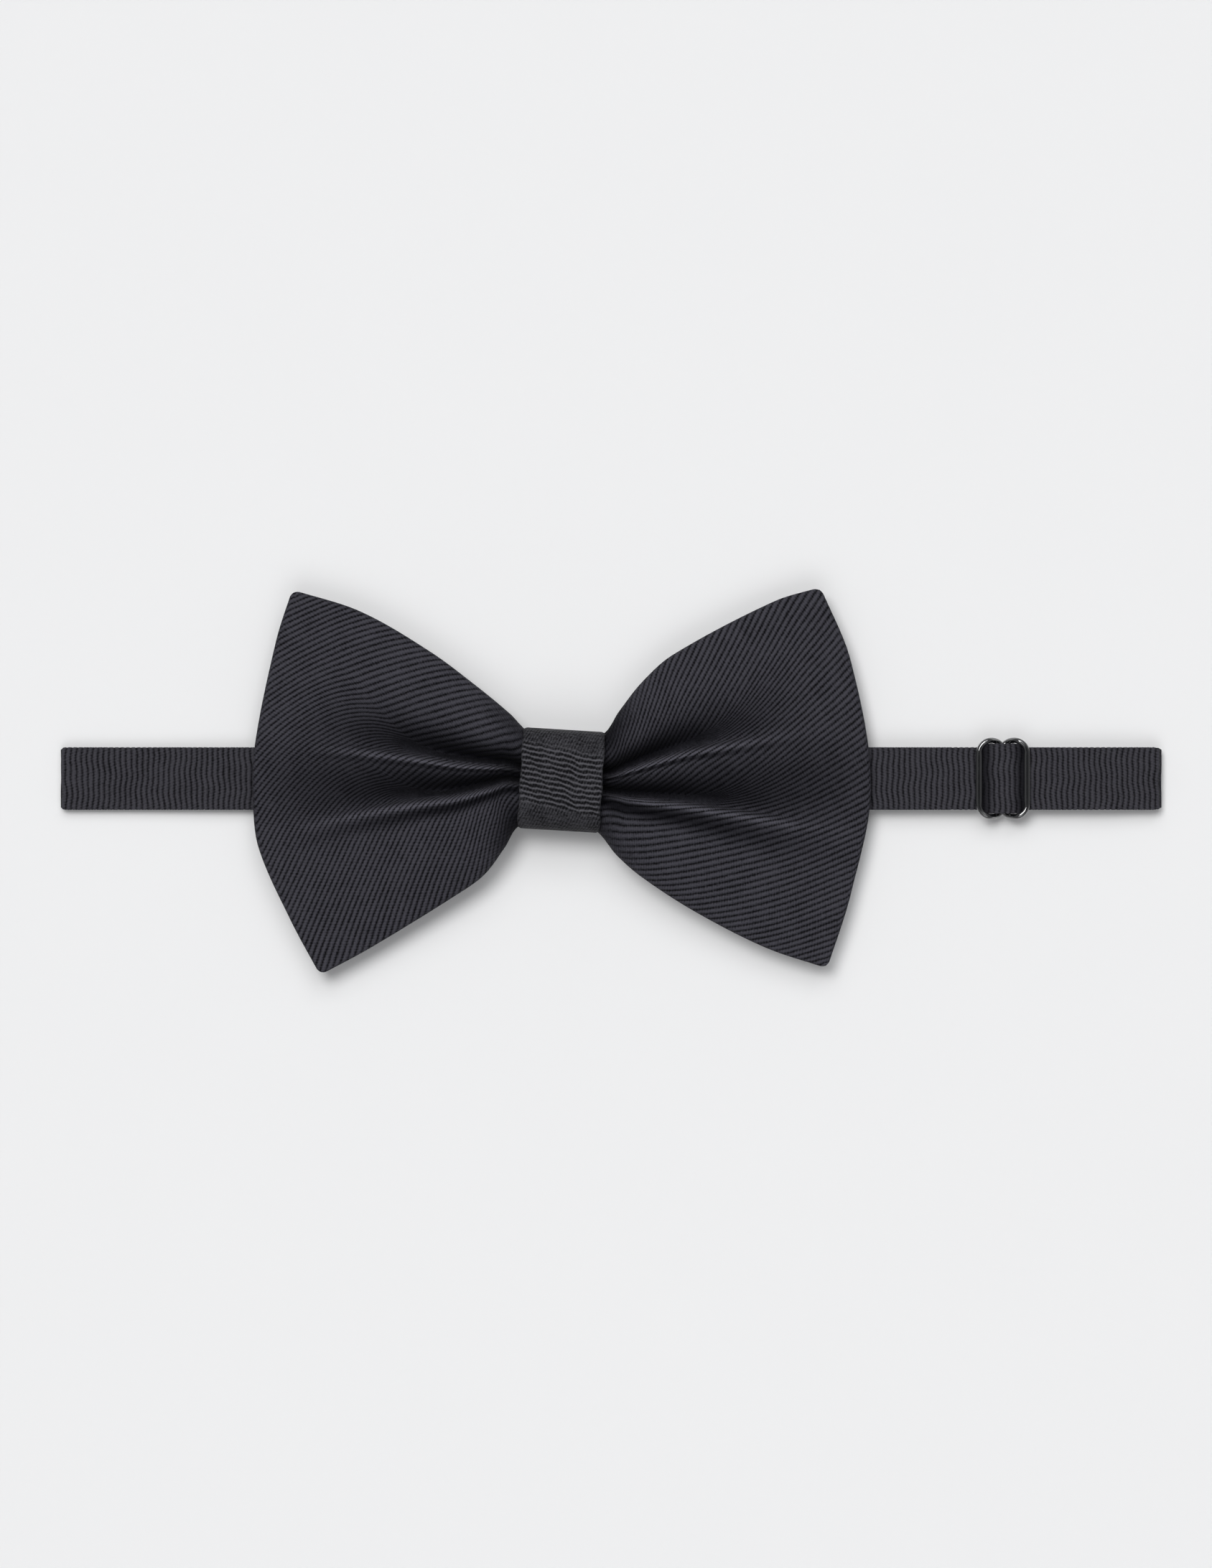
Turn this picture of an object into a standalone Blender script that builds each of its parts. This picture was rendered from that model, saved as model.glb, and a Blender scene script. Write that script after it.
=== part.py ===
"""Ready-tied bow tie on an adjustable ribbon neck band.

The tie lies face up on a table. Its neck band is folded flat behind the bow, and its hook and eye
are unfastened. +X runs along the band towards the slider, +Y up the bow, and +Z off the table.
Sizes are in millimetres and are turned into metres when a mesh is made.
"""

import math

import bmesh
import bpy
from mathutils import Vector

MM = 0.001
CLEARANCE = 0.3  # between pieces that touch on the real tie

# The neck band: one ribbon, folded at both ends.
BAND_REACH = 107.0  # from the middle of the tie to either fold
BAND_WIDTH = 12.2
BAND_Y = 0.5
RIBBON = 0.4  # thickness of the ribbon

# The two folds, each a half turn round a centre at the middle of its height.
LEFT_FOLD_TOP = 2.1
RIGHT_FOLD_TOP = 3.4
LEFT_ARC_X = -BAND_REACH + LEFT_FOLD_TOP / 2
RIGHT_ARC_X = BAND_REACH - RIGHT_FOLD_TOP / 2

# The front run of the band: low behind the knot, high where the slider rides on it.
FRONT_LOW = 2.5
FRONT_HIGH = 3.7
FRONT_RISE = (2.0, 50.0)
FRONT_DIP = (94.5, 103.5)

# The bow, pinched in its middle and held by the knot.
KNOT_X, KNOT_Y = -9.6, 0.2
KNOT_WIDTH, KNOT_HEIGHT = 15.9, 19.6
KNOT_BOTTOM, KNOT_TOP = 0.85, 13.3
KNOT_TURN = math.radians(-3.5)
KNOT_WRAP = 0.5
KNOT_LINING = 0.35
KNOT_MIDDLE = 5.6  # height at which the knot is widest
PINCH = 7.6  # half of the bow's height inside the knot
PANEL = 0.45  # thickness of the bow's cloth
LINING = 0.25  # thickness of its interlining
LINING_GAP = 0.2
BOW_MID_KNOT, BOW_MID_EDGE = 7.0, 5.4
FRONT_CROWN, BACK_CROWN = 4.0, 2.5
PLEAT_DEPTH = 3.4
BACK_PLEAT_DEPTH = 1.2
PLEAT_WIDTH = 0.13  # of the wing's half height
STEPS_OUT, STEPS_UP = 11, 20  # of each wing's mesh
GATHER_THREAD, GATHER_SPREAD = 0.4, 3.2  # the thread round the pinch, and how far its turns spread

# The wings' outlines, from the middle of the knot to the corner, and down the outer edge.
LEFT_TOP_CORNER, LEFT_LOW_CORNER = (-61.8, 36.9), (-56.4, -37.6)
RIGHT_TOP_CORNER, RIGHT_LOW_CORNER = (40.6, 37.6), (41.9, -35.8)
LEFT_TOP = [
    (KNOT_X, PINCH), (-16.8, 8.2), (-20.2, 12.9), (-25.9, 18.0), (-35.2, 25.2), (-48.6, 32.7), LEFT_TOP_CORNER
]
LEFT_LOW = [
    (KNOT_X, -PINCH), (-18.3, -7.8), (-21.8, -15.1), (-25.9, -19.7), (-46.6, -32.1), LEFT_LOW_CORNER
]
LEFT_END = [
    LEFT_LOW_CORNER, (-62.1, -27.0), (-68.3, -13.0), (-69.4, -4.0), (-69.1, 6.6), (-64.9, 27.3),
    LEFT_TOP_CORNER
]
RIGHT_TOP = [
    (KNOT_X, PINCH), (-0.9, 8.0), (1.6, 13.4), (5.2, 18.0), (11.9, 23.7), (31.5, 34.3), RIGHT_TOP_CORNER
]
RIGHT_LOW = [
    (KNOT_X, -PINCH), (-2.9, -8.0), (1.2, -13.6), (6.2, -18.2), (16.6, -25.4), RIGHT_LOW_CORNER
]
RIGHT_END = [
    RIGHT_LOW_CORNER, (46.5, -21.8), (50.4, -1.1), (46.5, 23.2), RIGHT_TOP_CORNER
]

# Where the two pleats of each wing run, as shares of its half height, at the knot and at the edge.
LEFT_PLEATS = ((0.22, 0.32), (-0.08, -0.30))
RIGHT_PLEATS = ((0.24, 0.32), (-0.22, -0.22))

# The slider: a wire figure of eight whose centre bar carries the sewn end of the band.
SLIDER_X = 76.05
SLIDER_LENGTH, SLIDER_HEIGHT = 10.5, 16.0
SLIDER_WIRE = 0.9
SLIDER_BAR = 0.8
SLIDER_LOBE = 2.5  # radius of each of its four round corners, at the wire's middle
SLIDER_NOTCH = math.radians(150)  # how far round a corner the wire goes before it turns back at the waist
SLIDER_BAR_Z = 2.3
SLIDER_SIDE_Z = FRONT_HIGH + RIBBON / 2 + CLEARANCE + SLIDER_WIRE / 2
TAIL_RADIUS = SLIDER_BAR / 2 + 0.09 + RIBBON / 2  # of the ribbon's turn round the centre bar
TAIL_LOWER_LEG = ((8.45, 1.75), (4.0, 1.68), (1.5, 1.61))  # distance from the bar, and height
TAIL_UPPER_LEG = ((1.2, 2.96), (3.6, 2.36), (4.8, 2.28), (7.4, 2.28))
TAIL_TACK = (5.9, 2.28)

# The clasp behind the bow, unfastened.
EYE_BAR_X, EYE_END_X = 13.0, 19.2
HOOK_BAR_X, HOOK_CROSS_X = 42.5, 36.5
CLASP_WIRE = 1.0
CLASP_Z = 1.0
CLASP_HALF_HEIGHT = 6.9
CLASP_CORNER = 1.1
LOOP_RADIUS = CLASP_Z - RIBBON / 2  # of the ribbon's turn round either bar
LOOP_WIDTH = BAND_WIDTH - 0.4
LOOP_REACH = 1.5  # where the lower leg comes level with the table
LOOP_FALL = ((1.2, 1.72), (3.2, 1.05))  # how the upper leg comes down on the lower one
UPPER_LEG_Z = 0.92
EYE_UPPER_LEG = LOOP_FALL + ((4.4, UPPER_LEG_Z), (8.0, UPPER_LEG_Z))
EYE_TACK = 5.4
TONGUE_WIDTH, TONGUE_THICKNESS = 5.0, 0.6
TONGUE_BEND_X, TONGUE_BEND_RADIUS, TONGUE_Z = 31.5, 0.6, 0.9
TONGUE_TIP = (34.4, TONGUE_Z + 2 * TONGUE_BEND_RADIUS + 0.05)
STITCH = 0.24  # diameter of the sewing thread where it lies on the cloth
STITCH_LIFT = STITCH / 2 + 0.06

# Where the doubled band behind the right wing starts, clear of the sliding hook loop.
DOUBLED_FROM_X = 58.0
HOOK_LEGS_TO_X = 48.0
EYE_LEG_FROM_X = 3.0
INNER_LAYER_BACK = 1.3  # how far the doubled band's inner layer stops short of the fold's turn


def clear_scene():
    for old in list(bpy.data.objects):
        bpy.data.objects.remove(old, do_unlink=True)


def finish(name, colour, roughness, metallic=0.0):
    """A material with one Principled BSDF."""
    material = bpy.data.materials.new(name)
    material.use_nodes = True
    shader = material.node_tree.nodes["Principled BSDF"]
    shader.inputs["Base Color"].default_value = (*colour, 1.0)
    shader.inputs["Roughness"].default_value = roughness
    shader.inputs["Metallic"].default_value = metallic
    return material


def place_mesh(name, points, faces, material, joint_at=(0.0, 0.0, 0.0), smooth=False):
    """An object from points in millimetres, with its origin at joint_at."""
    origin = Vector(joint_at)
    mesh = bpy.data.meshes.new(name)
    mesh.from_pydata([(Vector(p) - origin) * MM for p in points], [], faces)
    mesh.validate()
    if smooth:
        mesh.shade_smooth()
    mesh.materials.append(material)
    piece = bpy.data.objects.new(name, mesh)
    piece.location = origin * MM
    bpy.context.scene.collection.objects.link(piece)
    return piece


def smoothstep(low, high, value):
    share = min(max((value - low) / (high - low), 0.0), 1.0)
    return share * share * (3 - 2 * share)


def along(points, share):
    """The point at a share of a smooth curve through these points, paced by their distances."""
    spots = [Vector(p) for p in points]
    lengths = [(b - a).length for a, b in zip(spots, spots[1:])]
    goal = min(max(share, 0.0), 1.0) * sum(lengths)
    i = 0
    while i < len(lengths) - 1 and goal > lengths[i]:
        goal -= lengths[i]
        i += 1
    t = min(goal / lengths[i], 1.0)
    before = spots[i - 1] if i else 2 * spots[0] - spots[1]
    after = spots[i + 2] if i + 2 < len(spots) else 2 * spots[-1] - spots[-2]
    slope_in = (spots[i + 1] - before) * lengths[i] / ((spots[i] - before).length + lengths[i])
    slope_out = (after - spots[i]) * lengths[i] / ((after - spots[i + 1]).length + lengths[i])
    start = spots[i] * (2 * t**3 - 3 * t**2 + 1) + slope_in * (t**3 - 2 * t**2 + t)
    return start + spots[i + 1] * (3 * t**2 - 2 * t**3) + slope_out * (t**3 - t**2)


def ribbon(name, path, material, width=BAND_WIDTH, thickness=RIBBON, joint_at=(0, 0, 0)):
    """A flat strip along a path of (x, z) points, its width along Y."""
    rails = []
    for i, (x, z) in enumerate(path):
        ahead, behind = path[min(i + 1, len(path) - 1)], path[max(i - 1, 0)]
        run = Vector((ahead[0] - behind[0], ahead[1] - behind[1])).normalized()
        rails.append((Vector((x, z)), Vector((-run.y, run.x)) * thickness / 2))
    points = []
    for spot, out in rails:
        for side, level in ((-1, -1), (1, -1), (1, 1), (-1, 1)):
            at = spot + out * level
            points.append((at.x, BAND_Y + side * width / 2, at.y))
    faces = [(0, 3, 2, 1)]
    for i in range(len(rails) - 1):
        for k in range(4):
            a, b = 4 * i + k, 4 * i + (k + 1) % 4
            faces.append((a, b, b + 4, a + 4))
    last = 4 * (len(rails) - 1)
    faces.append((last, last + 1, last + 2, last + 3))
    return outward(place_mesh(name, points, faces, material, joint_at))


def outward(piece):
    """Turns every face to point out of the solid."""
    mesh = bmesh.new()
    mesh.from_mesh(piece.data)
    bmesh.ops.recalc_face_normals(mesh, faces=mesh.faces)
    mesh.to_mesh(piece.data)
    mesh.free()
    return piece


def wire_mesh(path, diameter, sides, closed):
    """Points and faces of a round wire along a path whose run is never straight up."""
    spots = [Vector(p) for p in path]
    count = len(spots)
    points, faces = [], []
    for i, spot in enumerate(spots):
        ahead = spots[(i + 1) % count] if closed else spots[min(i + 1, count - 1)]
        behind = spots[i - 1] if closed or i else spots[0]
        run = (ahead - behind).normalized()
        aside = run.cross(Vector((0, 0, 1))).normalized()
        over = aside.cross(run)
        for k in range(sides):
            turn = 2 * math.pi * (k + 0.5) / sides
            points.append(spot + (aside * math.cos(turn) + over * math.sin(turn)) * diameter / 2)
    for i in range(count if closed else count - 1):
        j = (i + 1) % count
        for k in range(sides):
            n = (k + 1) % sides
            faces.append((i * sides + k, i * sides + n, j * sides + n, j * sides + k))
    if not closed:
        faces.append(tuple(range(sides)))
        faces.append(tuple(range((count - 1) * sides, count * sides)))
    return points, faces


def wire(name, path, diameter, material, sides=8, closed=False, joint_at=(0, 0, 0)):
    points, faces = wire_mesh(path, diameter, sides, closed)
    return outward(place_mesh(name, points, faces, material, joint_at, smooth=True))


def join_solids(piece, *others):
    """Unites solids into one closed body."""
    for other in others:
        union = piece.modifiers.new("join_" + other.name, "BOOLEAN")
        union.operation = "UNION"
        union.solver = "EXACT"
        union.object = other
        bpy.context.view_layer.update()
        graph = bpy.context.evaluated_depsgraph_get()
        mesh = bpy.data.meshes.new_from_object(piece.evaluated_get(graph))
        piece.modifiers.clear()
        piece.data = mesh
        bpy.data.objects.remove(other, do_unlink=True)
    return piece


def half_turn(centre_x, centre_z, radius, opening, steps=10):
    """Points of a half turn, from below to above. opening is +1 where the turn's mouth faces +X."""
    found = []
    for i in range(steps + 1):
        turn = math.pi * i / steps
        found.append((centre_x - opening * radius * math.sin(turn), centre_z - radius * math.cos(turn)))
    return found


# ---- the bow ----


def wing_spot(side, u, v):
    """Where the cloth lies in plan: u from the knot (0) to the outer edge (1), v from low (-1) to top (1)."""
    top, low, end = (LEFT_TOP, LEFT_LOW, LEFT_END) if side < 0 else (RIGHT_TOP, RIGHT_LOW, RIGHT_END)
    h = (v + 1) / 2
    a, b = along(low, u), along(top, u)
    c, d = Vector((KNOT_X, PINCH * v)), along(end, h)
    corners = (1 - h) * ((1 - u) * Vector(low[0]) + u * Vector(low[-1]))
    corners += h * ((1 - u) * Vector(top[0]) + u * Vector(top[-1]))
    return (1 - h) * a + h * b + (1 - u) * c + u * d - corners


def swell(u, v):
    """How far the wing's cloth is puffed out, from 1 by the knot to 0 at every edge."""
    out = max(0.0, (u - 0.1) / 0.9)
    return ((1 - out**2) * (1 - abs(v) ** 3)) ** 0.7


def pleats(side, u, v):
    """How deep the two pleats are, from 1 at the knot to 0 near the outer edge."""
    lines = LEFT_PLEATS if side < 0 else RIGHT_PLEATS
    found = 0.0
    for near, far in lines:
        away = (v - near - (far - near) * u) / PLEAT_WIDTH
        found = max(found, math.exp(-away * away))
    return found * (1 - smoothstep(0.12, 0.82, u)) * (1 - v**6)


def middle_height(u):
    return BOW_MID_KNOT + (BOW_MID_EDGE - BOW_MID_KNOT) * smoothstep(0.1, 1.0, u)


def front_height(side, u, v):
    """The upper face of the front panel."""
    puff = FRONT_CROWN * swell(u, v) - PLEAT_DEPTH * pleats(side, u, v)
    return middle_height(u) + CLEARANCE / 2 + PANEL + puff


def back_height(side, u, v):
    """The lower face of the back panel, which has one shallow pleat by the knot."""
    pleat = math.exp(-((v / 0.2) ** 2)) * (1 - smoothstep(0.1, 0.6, u))
    puff = BACK_CROWN * swell(u, v) - BACK_PLEAT_DEPTH * pleat
    return middle_height(u) - CLEARANCE / 2 - PANEL - puff


def bow_panel(name, top, bottom, material, inset=0):
    """A sheet across both wings. top and bottom give its faces' heights, and inset trims its rim."""
    shares = [(i / STEPS_OUT) ** 1.25 for i in range(STEPS_OUT + 1 - inset)]
    spots = [(-1, u) for u in reversed(shares[1:])] + [(1, u) for u in shares]
    levels = [2 * j / STEPS_UP - 1 for j in range(inset, STEPS_UP + 1 - inset)]
    levels = [0.7 * w + 0.3 * w**3 for w in levels]
    rows, columns = len(spots), len(levels)
    upper, lower = [], []
    for side, u in spots:
        for v in levels:
            at = wing_spot(side, u, v)
            upper.append((at.x, at.y, top(side, u, v)))
            lower.append((at.x, at.y, bottom(side, u, v)))
    skip = rows * columns
    faces = []
    for i in range(rows - 1):
        for j in range(columns - 1):
            a, b = i * columns + j, (i + 1) * columns + j
            for one, two, three in ((a, b, b + 1), (a, b + 1, a + 1)):
                faces.append((one, two, three))
                faces.append((skip + one, skip + three, skip + two))
    rim = list(range(columns))
    rim += [i * columns + columns - 1 for i in range(1, rows)]
    rim += [(rows - 1) * columns + j for j in range(columns - 2, -1, -1)]
    rim += [i * columns for i in range(rows - 2, 0, -1)]
    for a, b in zip(rim, rim[1:] + rim[:1]):
        faces.append((a, b, skip + b, skip + a))
    return outward(place_mesh(name, upper + lower, faces, material, smooth=True))


def make_bow(cloth, lining):
    """Two cloth panels sewn edge to edge, each with its interlining inside."""
    gap = PANEL + LINING_GAP
    bow_panel("bow_front", front_height, lambda *at: front_height(*at) - PANEL, cloth)
    bow_panel("bow_back", lambda *at: back_height(*at) + PANEL, back_height, cloth)
    bow_panel(
        "bow_front_interlining",
        lambda *at: front_height(*at) - gap,
        lambda *at: front_height(*at) - gap - LINING,
        lining,
        inset=1,
    )
    bow_panel(
        "bow_back_interlining",
        lambda *at: back_height(*at) + gap + LINING,
        lambda *at: back_height(*at) + gap,
        lining,
        inset=1,
    )


# ---- the knot ----


def knot_outline(inward, steps=44):
    """The knot's cross-section in (y, z), set in from its outer face: a flat back and a domed front."""
    half = KNOT_HEIGHT / 2 - inward
    low, high = KNOT_BOTTOM + inward, KNOT_TOP - inward
    found = []
    for i in range(steps):
        turn = 2 * math.pi * i / steps
        c, s = math.cos(turn), math.sin(turn)
        power, reach = (0.62, high - KNOT_MIDDLE) if s > 0 else (0.34, KNOT_MIDDLE - low)
        y = half * math.copysign(abs(c) ** power, c)
        found.append((y, KNOT_MIDDLE + reach * math.copysign(abs(s) ** power, s)))
    return found


def on_knot(x, y, z):
    """A point of the knot, which sits a little turned on the bow."""
    c, s = math.cos(KNOT_TURN), math.sin(KNOT_TURN)
    return (KNOT_X + x * c - y * s, KNOT_Y + x * s + y * c, z)


def knot_band(name, inward, thickness, width, material):
    """A closed band round the middle of the bow."""
    outer, inner = knot_outline(inward), knot_outline(inward + thickness)
    count = len(outer)
    points = []
    for ring in (outer, inner):
        for x in (-width / 2, width / 2):
            points += [on_knot(x, y, z) for y, z in ring]
    faces = []
    for i in range(count):
        j = (i + 1) % count
        a, b, c, d = 0, count, 3 * count, 2 * count
        for first, second in ((a, b), (b, c), (c, d), (d, a)):
            faces.append((first + i, first + j, second + j, second + i))
    return outward(place_mesh(name, points, faces, material, smooth=True))


def make_knot(cloth, lining, thread):
    """The wrap and its interlining round the pinched bow, and the threads that hold them."""
    knot_band("knot_wrap", 0.0, KNOT_WRAP, KNOT_WIDTH, cloth)
    knot_band("knot_interlining", KNOT_WRAP + 0.25, KNOT_LINING, KNOT_WIDTH - 1.2, lining)
    gather_thread(thread)
    seam = [on_knot(0.5 * (-1) ** i, 0.9 * (i - 7), KNOT_BOTTOM - STITCH_LIFT) for i in range(15)]
    wire("knot_back_stitches", seam, STITCH, thread, sides=6)
    bar_tack("band_tack_stitches", KNOT_X, FRONT_LOW + RIBBON / 2, thread)


def gather_thread(thread):
    """The thread wound round the pinched bow. Its turns stand upright, so their sides are set off from +X."""
    turns, steps, sides = 4, 20, 6
    low, high = BOW_MID_KNOT - BACK_CROWN - 1.0, BOW_MID_KNOT + FRONT_CROWN + 0.75
    spots = []
    for i in range(turns * steps + 1):
        turn = 2 * math.pi * i / steps
        c, s = math.cos(turn), math.sin(turn)
        x = KNOT_X + GATHER_SPREAD * (i / (turns * steps) - 0.5)
        y = (PINCH + 0.5) * math.copysign(abs(c) ** 0.8, c)
        z = (low + high) / 2 + (high - low) / 2 * math.copysign(abs(s) ** 0.8, s)
        spots.append(Vector((x, y, z)))
    points, faces = [], []
    for i, spot in enumerate(spots):
        run = (spots[min(i + 1, len(spots) - 1)] - spots[max(i - 1, 0)]).normalized()
        aside = Vector((1, 0, 0)).cross(run).normalized()
        over = run.cross(aside)
        for k in range(sides):
            turn = 2 * math.pi * k / sides
            points.append(spot + (aside * math.cos(turn) + over * math.sin(turn)) * GATHER_THREAD / 2)
    for i in range(len(spots) - 1):
        for k in range(sides):
            n = (k + 1) % sides
            faces.append((i * sides + k, i * sides + n, (i + 1) * sides + n, (i + 1) * sides + k))
    faces.append(tuple(range(sides)))
    faces.append(tuple(range((len(spots) - 1) * sides, len(spots) * sides)))
    outward(place_mesh("gather_thread", points, faces, thread, smooth=True))


# ---- the neck band ----


def front_level(x):
    """The middle of the front run's thickness at x."""
    level = FRONT_LOW + (FRONT_HIGH - FRONT_LOW) * smoothstep(*FRONT_RISE, x)
    level -= (FRONT_HIGH - (RIGHT_FOLD_TOP - RIBBON / 2)) * smoothstep(*FRONT_DIP, x)
    start = LEFT_FOLD_TOP - RIBBON / 2
    return level - (FRONT_LOW - start) * (1 - smoothstep(-100.0, -60.0, x))


def make_band(tape):
    low = RIBBON / 2
    gap = CLEARANCE
    xs = [LEFT_ARC_X + gap] + [float(x) for x in range(-100, 104, 4)] + [RIGHT_ARC_X - gap]
    ribbon("band_front", [(x, front_level(x)) for x in xs], tape)

    left_middle = LEFT_FOLD_TOP / 2
    right_middle = RIGHT_FOLD_TOP / 2
    ribbon("band_left_fold", half_turn(LEFT_ARC_X, left_middle, left_middle - low, 1), tape)
    ribbon("band_right_fold", half_turn(RIGHT_ARC_X, right_middle, right_middle - low, -1), tape)
    inner = right_middle - RIBBON - gap - low
    ribbon("band_right_fold_inner", half_turn(RIGHT_ARC_X, right_middle, inner, -1), tape)

    left_pivot = (left_pivot_x(), BAND_Y, left_middle)
    right_pivot = (right_pivot_x(), BAND_Y, right_middle)
    left_run = [(LEFT_ARC_X + gap, low), (EYE_LEG_FROM_X - gap, low)]
    ribbon("band_left_back", left_run, tape, joint_at=left_pivot)
    outer_run = [(DOUBLED_FROM_X, low), (RIGHT_ARC_X - gap, low)]
    ribbon("band_right_back", outer_run, tape, joint_at=right_pivot)
    second = low + RIBBON + gap
    inner_run = [(DOUBLED_FROM_X, second), (RIGHT_ARC_X - INNER_LAYER_BACK, second)]
    ribbon("band_right_back_inner", inner_run, tape, joint_at=right_pivot)


def left_pivot_x():
    """The left fold's hinge, set out so that the turned ribbon would unroll to its full length."""
    return LEFT_ARC_X - math.pi / 2 * (LEFT_FOLD_TOP / 2 - RIBBON / 2)


def right_pivot_x():
    return RIGHT_ARC_X + math.pi / 2 * (RIGHT_FOLD_TOP / 2 - RIBBON / 2)


# ---- the clasp ----


def ring_path(near_x, far_x):
    """A flat ring with straight sides and round corners, as points round it."""
    left, right = min(near_x, far_x) + CLASP_CORNER, max(near_x, far_x) - CLASP_CORNER
    half = CLASP_HALF_HEIGHT - CLASP_CORNER
    path = []
    corners = ((right, half, 0), (left, half, 90), (left, -half, 180), (right, -half, 270))
    for centre_x, centre_y, start in corners:
        for k in range(4):
            turn = math.radians(start + 30 * k)
            x = centre_x + CLASP_CORNER * math.cos(turn)
            y = centre_y + CLASP_CORNER * math.sin(turn)
            path.append((x, BAND_Y + y, CLASP_Z))
    return path


def make_eye(metal, tape, thread):
    """The eye's ring, and the end of the band sewn round its bar."""
    bar = (EYE_BAR_X, BAND_Y, CLASP_Z)
    wire("eye", ring_path(EYE_BAR_X, EYE_END_X), CLASP_WIRE, metal, closed=True, joint_at=bar)
    low = RIBBON / 2
    turn = half_turn(EYE_BAR_X, CLASP_Z, LOOP_RADIUS, -1)
    lower = [(EYE_LEG_FROM_X, low), (EYE_BAR_X - LOOP_REACH, low)]
    upper = [(EYE_BAR_X - out, level) for out, level in EYE_UPPER_LEG]
    ribbon("eye_strap_loop", lower + turn + upper, tape, width=LOOP_WIDTH)
    bar_tack("eye_loop_stitches", EYE_BAR_X - EYE_TACK, UPPER_LEG_Z + RIBBON / 2, thread)


def make_hook(metal, tape):
    """The hook: a wire frame with a bent tongue, and the band's turn through it."""
    bar = (HOOK_BAR_X, BAND_Y, CLASP_Z)
    ring = ring_path(HOOK_BAR_X, HOOK_CROSS_X)
    frame = wire("hook", ring, CLASP_WIRE, metal, closed=True, joint_at=bar)
    root = [(HOOK_CROSS_X + 0.2, TONGUE_Z), (TONGUE_BEND_X + 3.0, TONGUE_Z)]
    bend = half_turn(TONGUE_BEND_X, TONGUE_Z + TONGUE_BEND_RADIUS, TONGUE_BEND_RADIUS, 1, steps=6)
    path = root + bend + [TONGUE_TIP]
    join_solids(frame, ribbon("tongue", path, metal, width=TONGUE_WIDTH, thickness=TONGUE_THICKNESS))
    low = RIBBON / 2
    turn = half_turn(HOOK_BAR_X, CLASP_Z, LOOP_RADIUS, 1)
    lower = [(HOOK_LEGS_TO_X, low), (HOOK_BAR_X + LOOP_REACH, low)]
    upper = [(HOOK_BAR_X + out, level) for out, level in LOOP_FALL] + [(HOOK_LEGS_TO_X, UPPER_LEG_Z)]
    ribbon("hook_strap_loop", lower + turn + upper, tape, width=LOOP_WIDTH, joint_at=bar)


def bar_tack(name, x, level, thread, half=4.2, joint_at=(0, 0, 0)):
    """A row of close zigzag stitches across the band, as they show on its face."""
    count = 13
    path = []
    for i in range(count):
        y = BAND_Y + half * (2 * i / (count - 1) - 1)
        path.append((x + 0.55 * (-1) ** i, y, level + STITCH_LIFT))
    return wire(name, path, STITCH, thread, sides=6, joint_at=joint_at)


# ---- the slider ----


def slider_path():
    """The figure of eight: four round lobes, joined by side bars and pinched at the waist."""
    side = (SLIDER_LENGTH - SLIDER_WIRE) / 2
    lobe_y = (SLIDER_HEIGHT - SLIDER_WIRE) / 2 - SLIDER_LOBE
    corner = []
    for k in range(11):
        turn = SLIDER_NOTCH * k / 10
        x = side - SLIDER_LOBE + SLIDER_LOBE * math.cos(turn)
        corner.append((x, lobe_y + SLIDER_LOBE * math.sin(turn)))
    plan = corner + [(-x, y) for x, y in reversed(corner)]
    plan += [(-x, -y) for x, y in corner] + [(x, -y) for x, y in reversed(corner)]
    path = []
    for x, y in plan:
        level = SLIDER_BAR_Z + (SLIDER_SIDE_Z - SLIDER_BAR_Z) * smoothstep(0.7, 3.0, abs(x))
        path.append((SLIDER_X + x, BAND_Y + y, level))
    return path


def make_slider(enamel, tape, thread):
    """The slider's side bars lie over the band, and its centre bar runs under it."""
    origin = (SLIDER_X, BAND_Y, SLIDER_BAR_Z)
    path = slider_path()
    ring = wire("slider", path, SLIDER_WIRE, enamel, closed=True, joint_at=origin)
    waist = min(abs(y - BAND_Y) for x, y, _ in path if abs(x - SLIDER_X) < 0.5)
    ends = [(SLIDER_X, BAND_Y - waist, SLIDER_BAR_Z), (SLIDER_X, BAND_Y + waist, SLIDER_BAR_Z)]
    join_solids(ring, wire("centre_bar", ends, SLIDER_BAR, enamel))

    turn = half_turn(SLIDER_X, SLIDER_BAR_Z, TAIL_RADIUS, 1)
    lower = [(SLIDER_X + out, level) for out, level in TAIL_LOWER_LEG]
    upper = [(SLIDER_X + out, level) for out, level in TAIL_UPPER_LEG]
    ribbon("slider_tail_loop", lower + turn + upper, tape, width=BAND_WIDTH - 0.8, joint_at=origin)
    tack_out, tack_level = TAIL_TACK
    bar_tack("slider_tail_stitches", SLIDER_X + tack_out, tack_level + RIBBON / 2, thread, joint_at=origin)


def main():
    clear_scene()
    cloth = finish("black_twill", (0.033, 0.032, 0.038), 0.72)
    tape = finish("black_ribbon", (0.033, 0.032, 0.037), 0.68)
    lining = finish("interlining", (0.62, 0.61, 0.58), 0.95)
    thread = finish("sewing_thread", (0.02, 0.02, 0.022), 0.8)
    enamel = finish("slider_enamel", (0.012, 0.012, 0.014), 0.18, 0.4)
    metal = finish("clasp_enamel", (0.012, 0.012, 0.014), 0.22, 0.4)
    make_bow(cloth, lining)
    make_knot(cloth, lining, thread)
    make_band(tape)
    make_eye(metal, tape, thread)
    make_hook(metal, tape)
    make_slider(enamel, tape, thread)


main()
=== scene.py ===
# %% [markdown]
# # A ready-tied bow tie
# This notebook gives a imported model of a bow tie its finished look. The real tie is three pieces of
# sewing: a bow of ribbed cloth pinched in its middle, a knot wrapped round the pinch, and a neck band
# of ribbon with a wire slider and a hook and eye. The model underneath already holds every piece in
# its place, so each finished piece here is built round the solid that it stands for.

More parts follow.
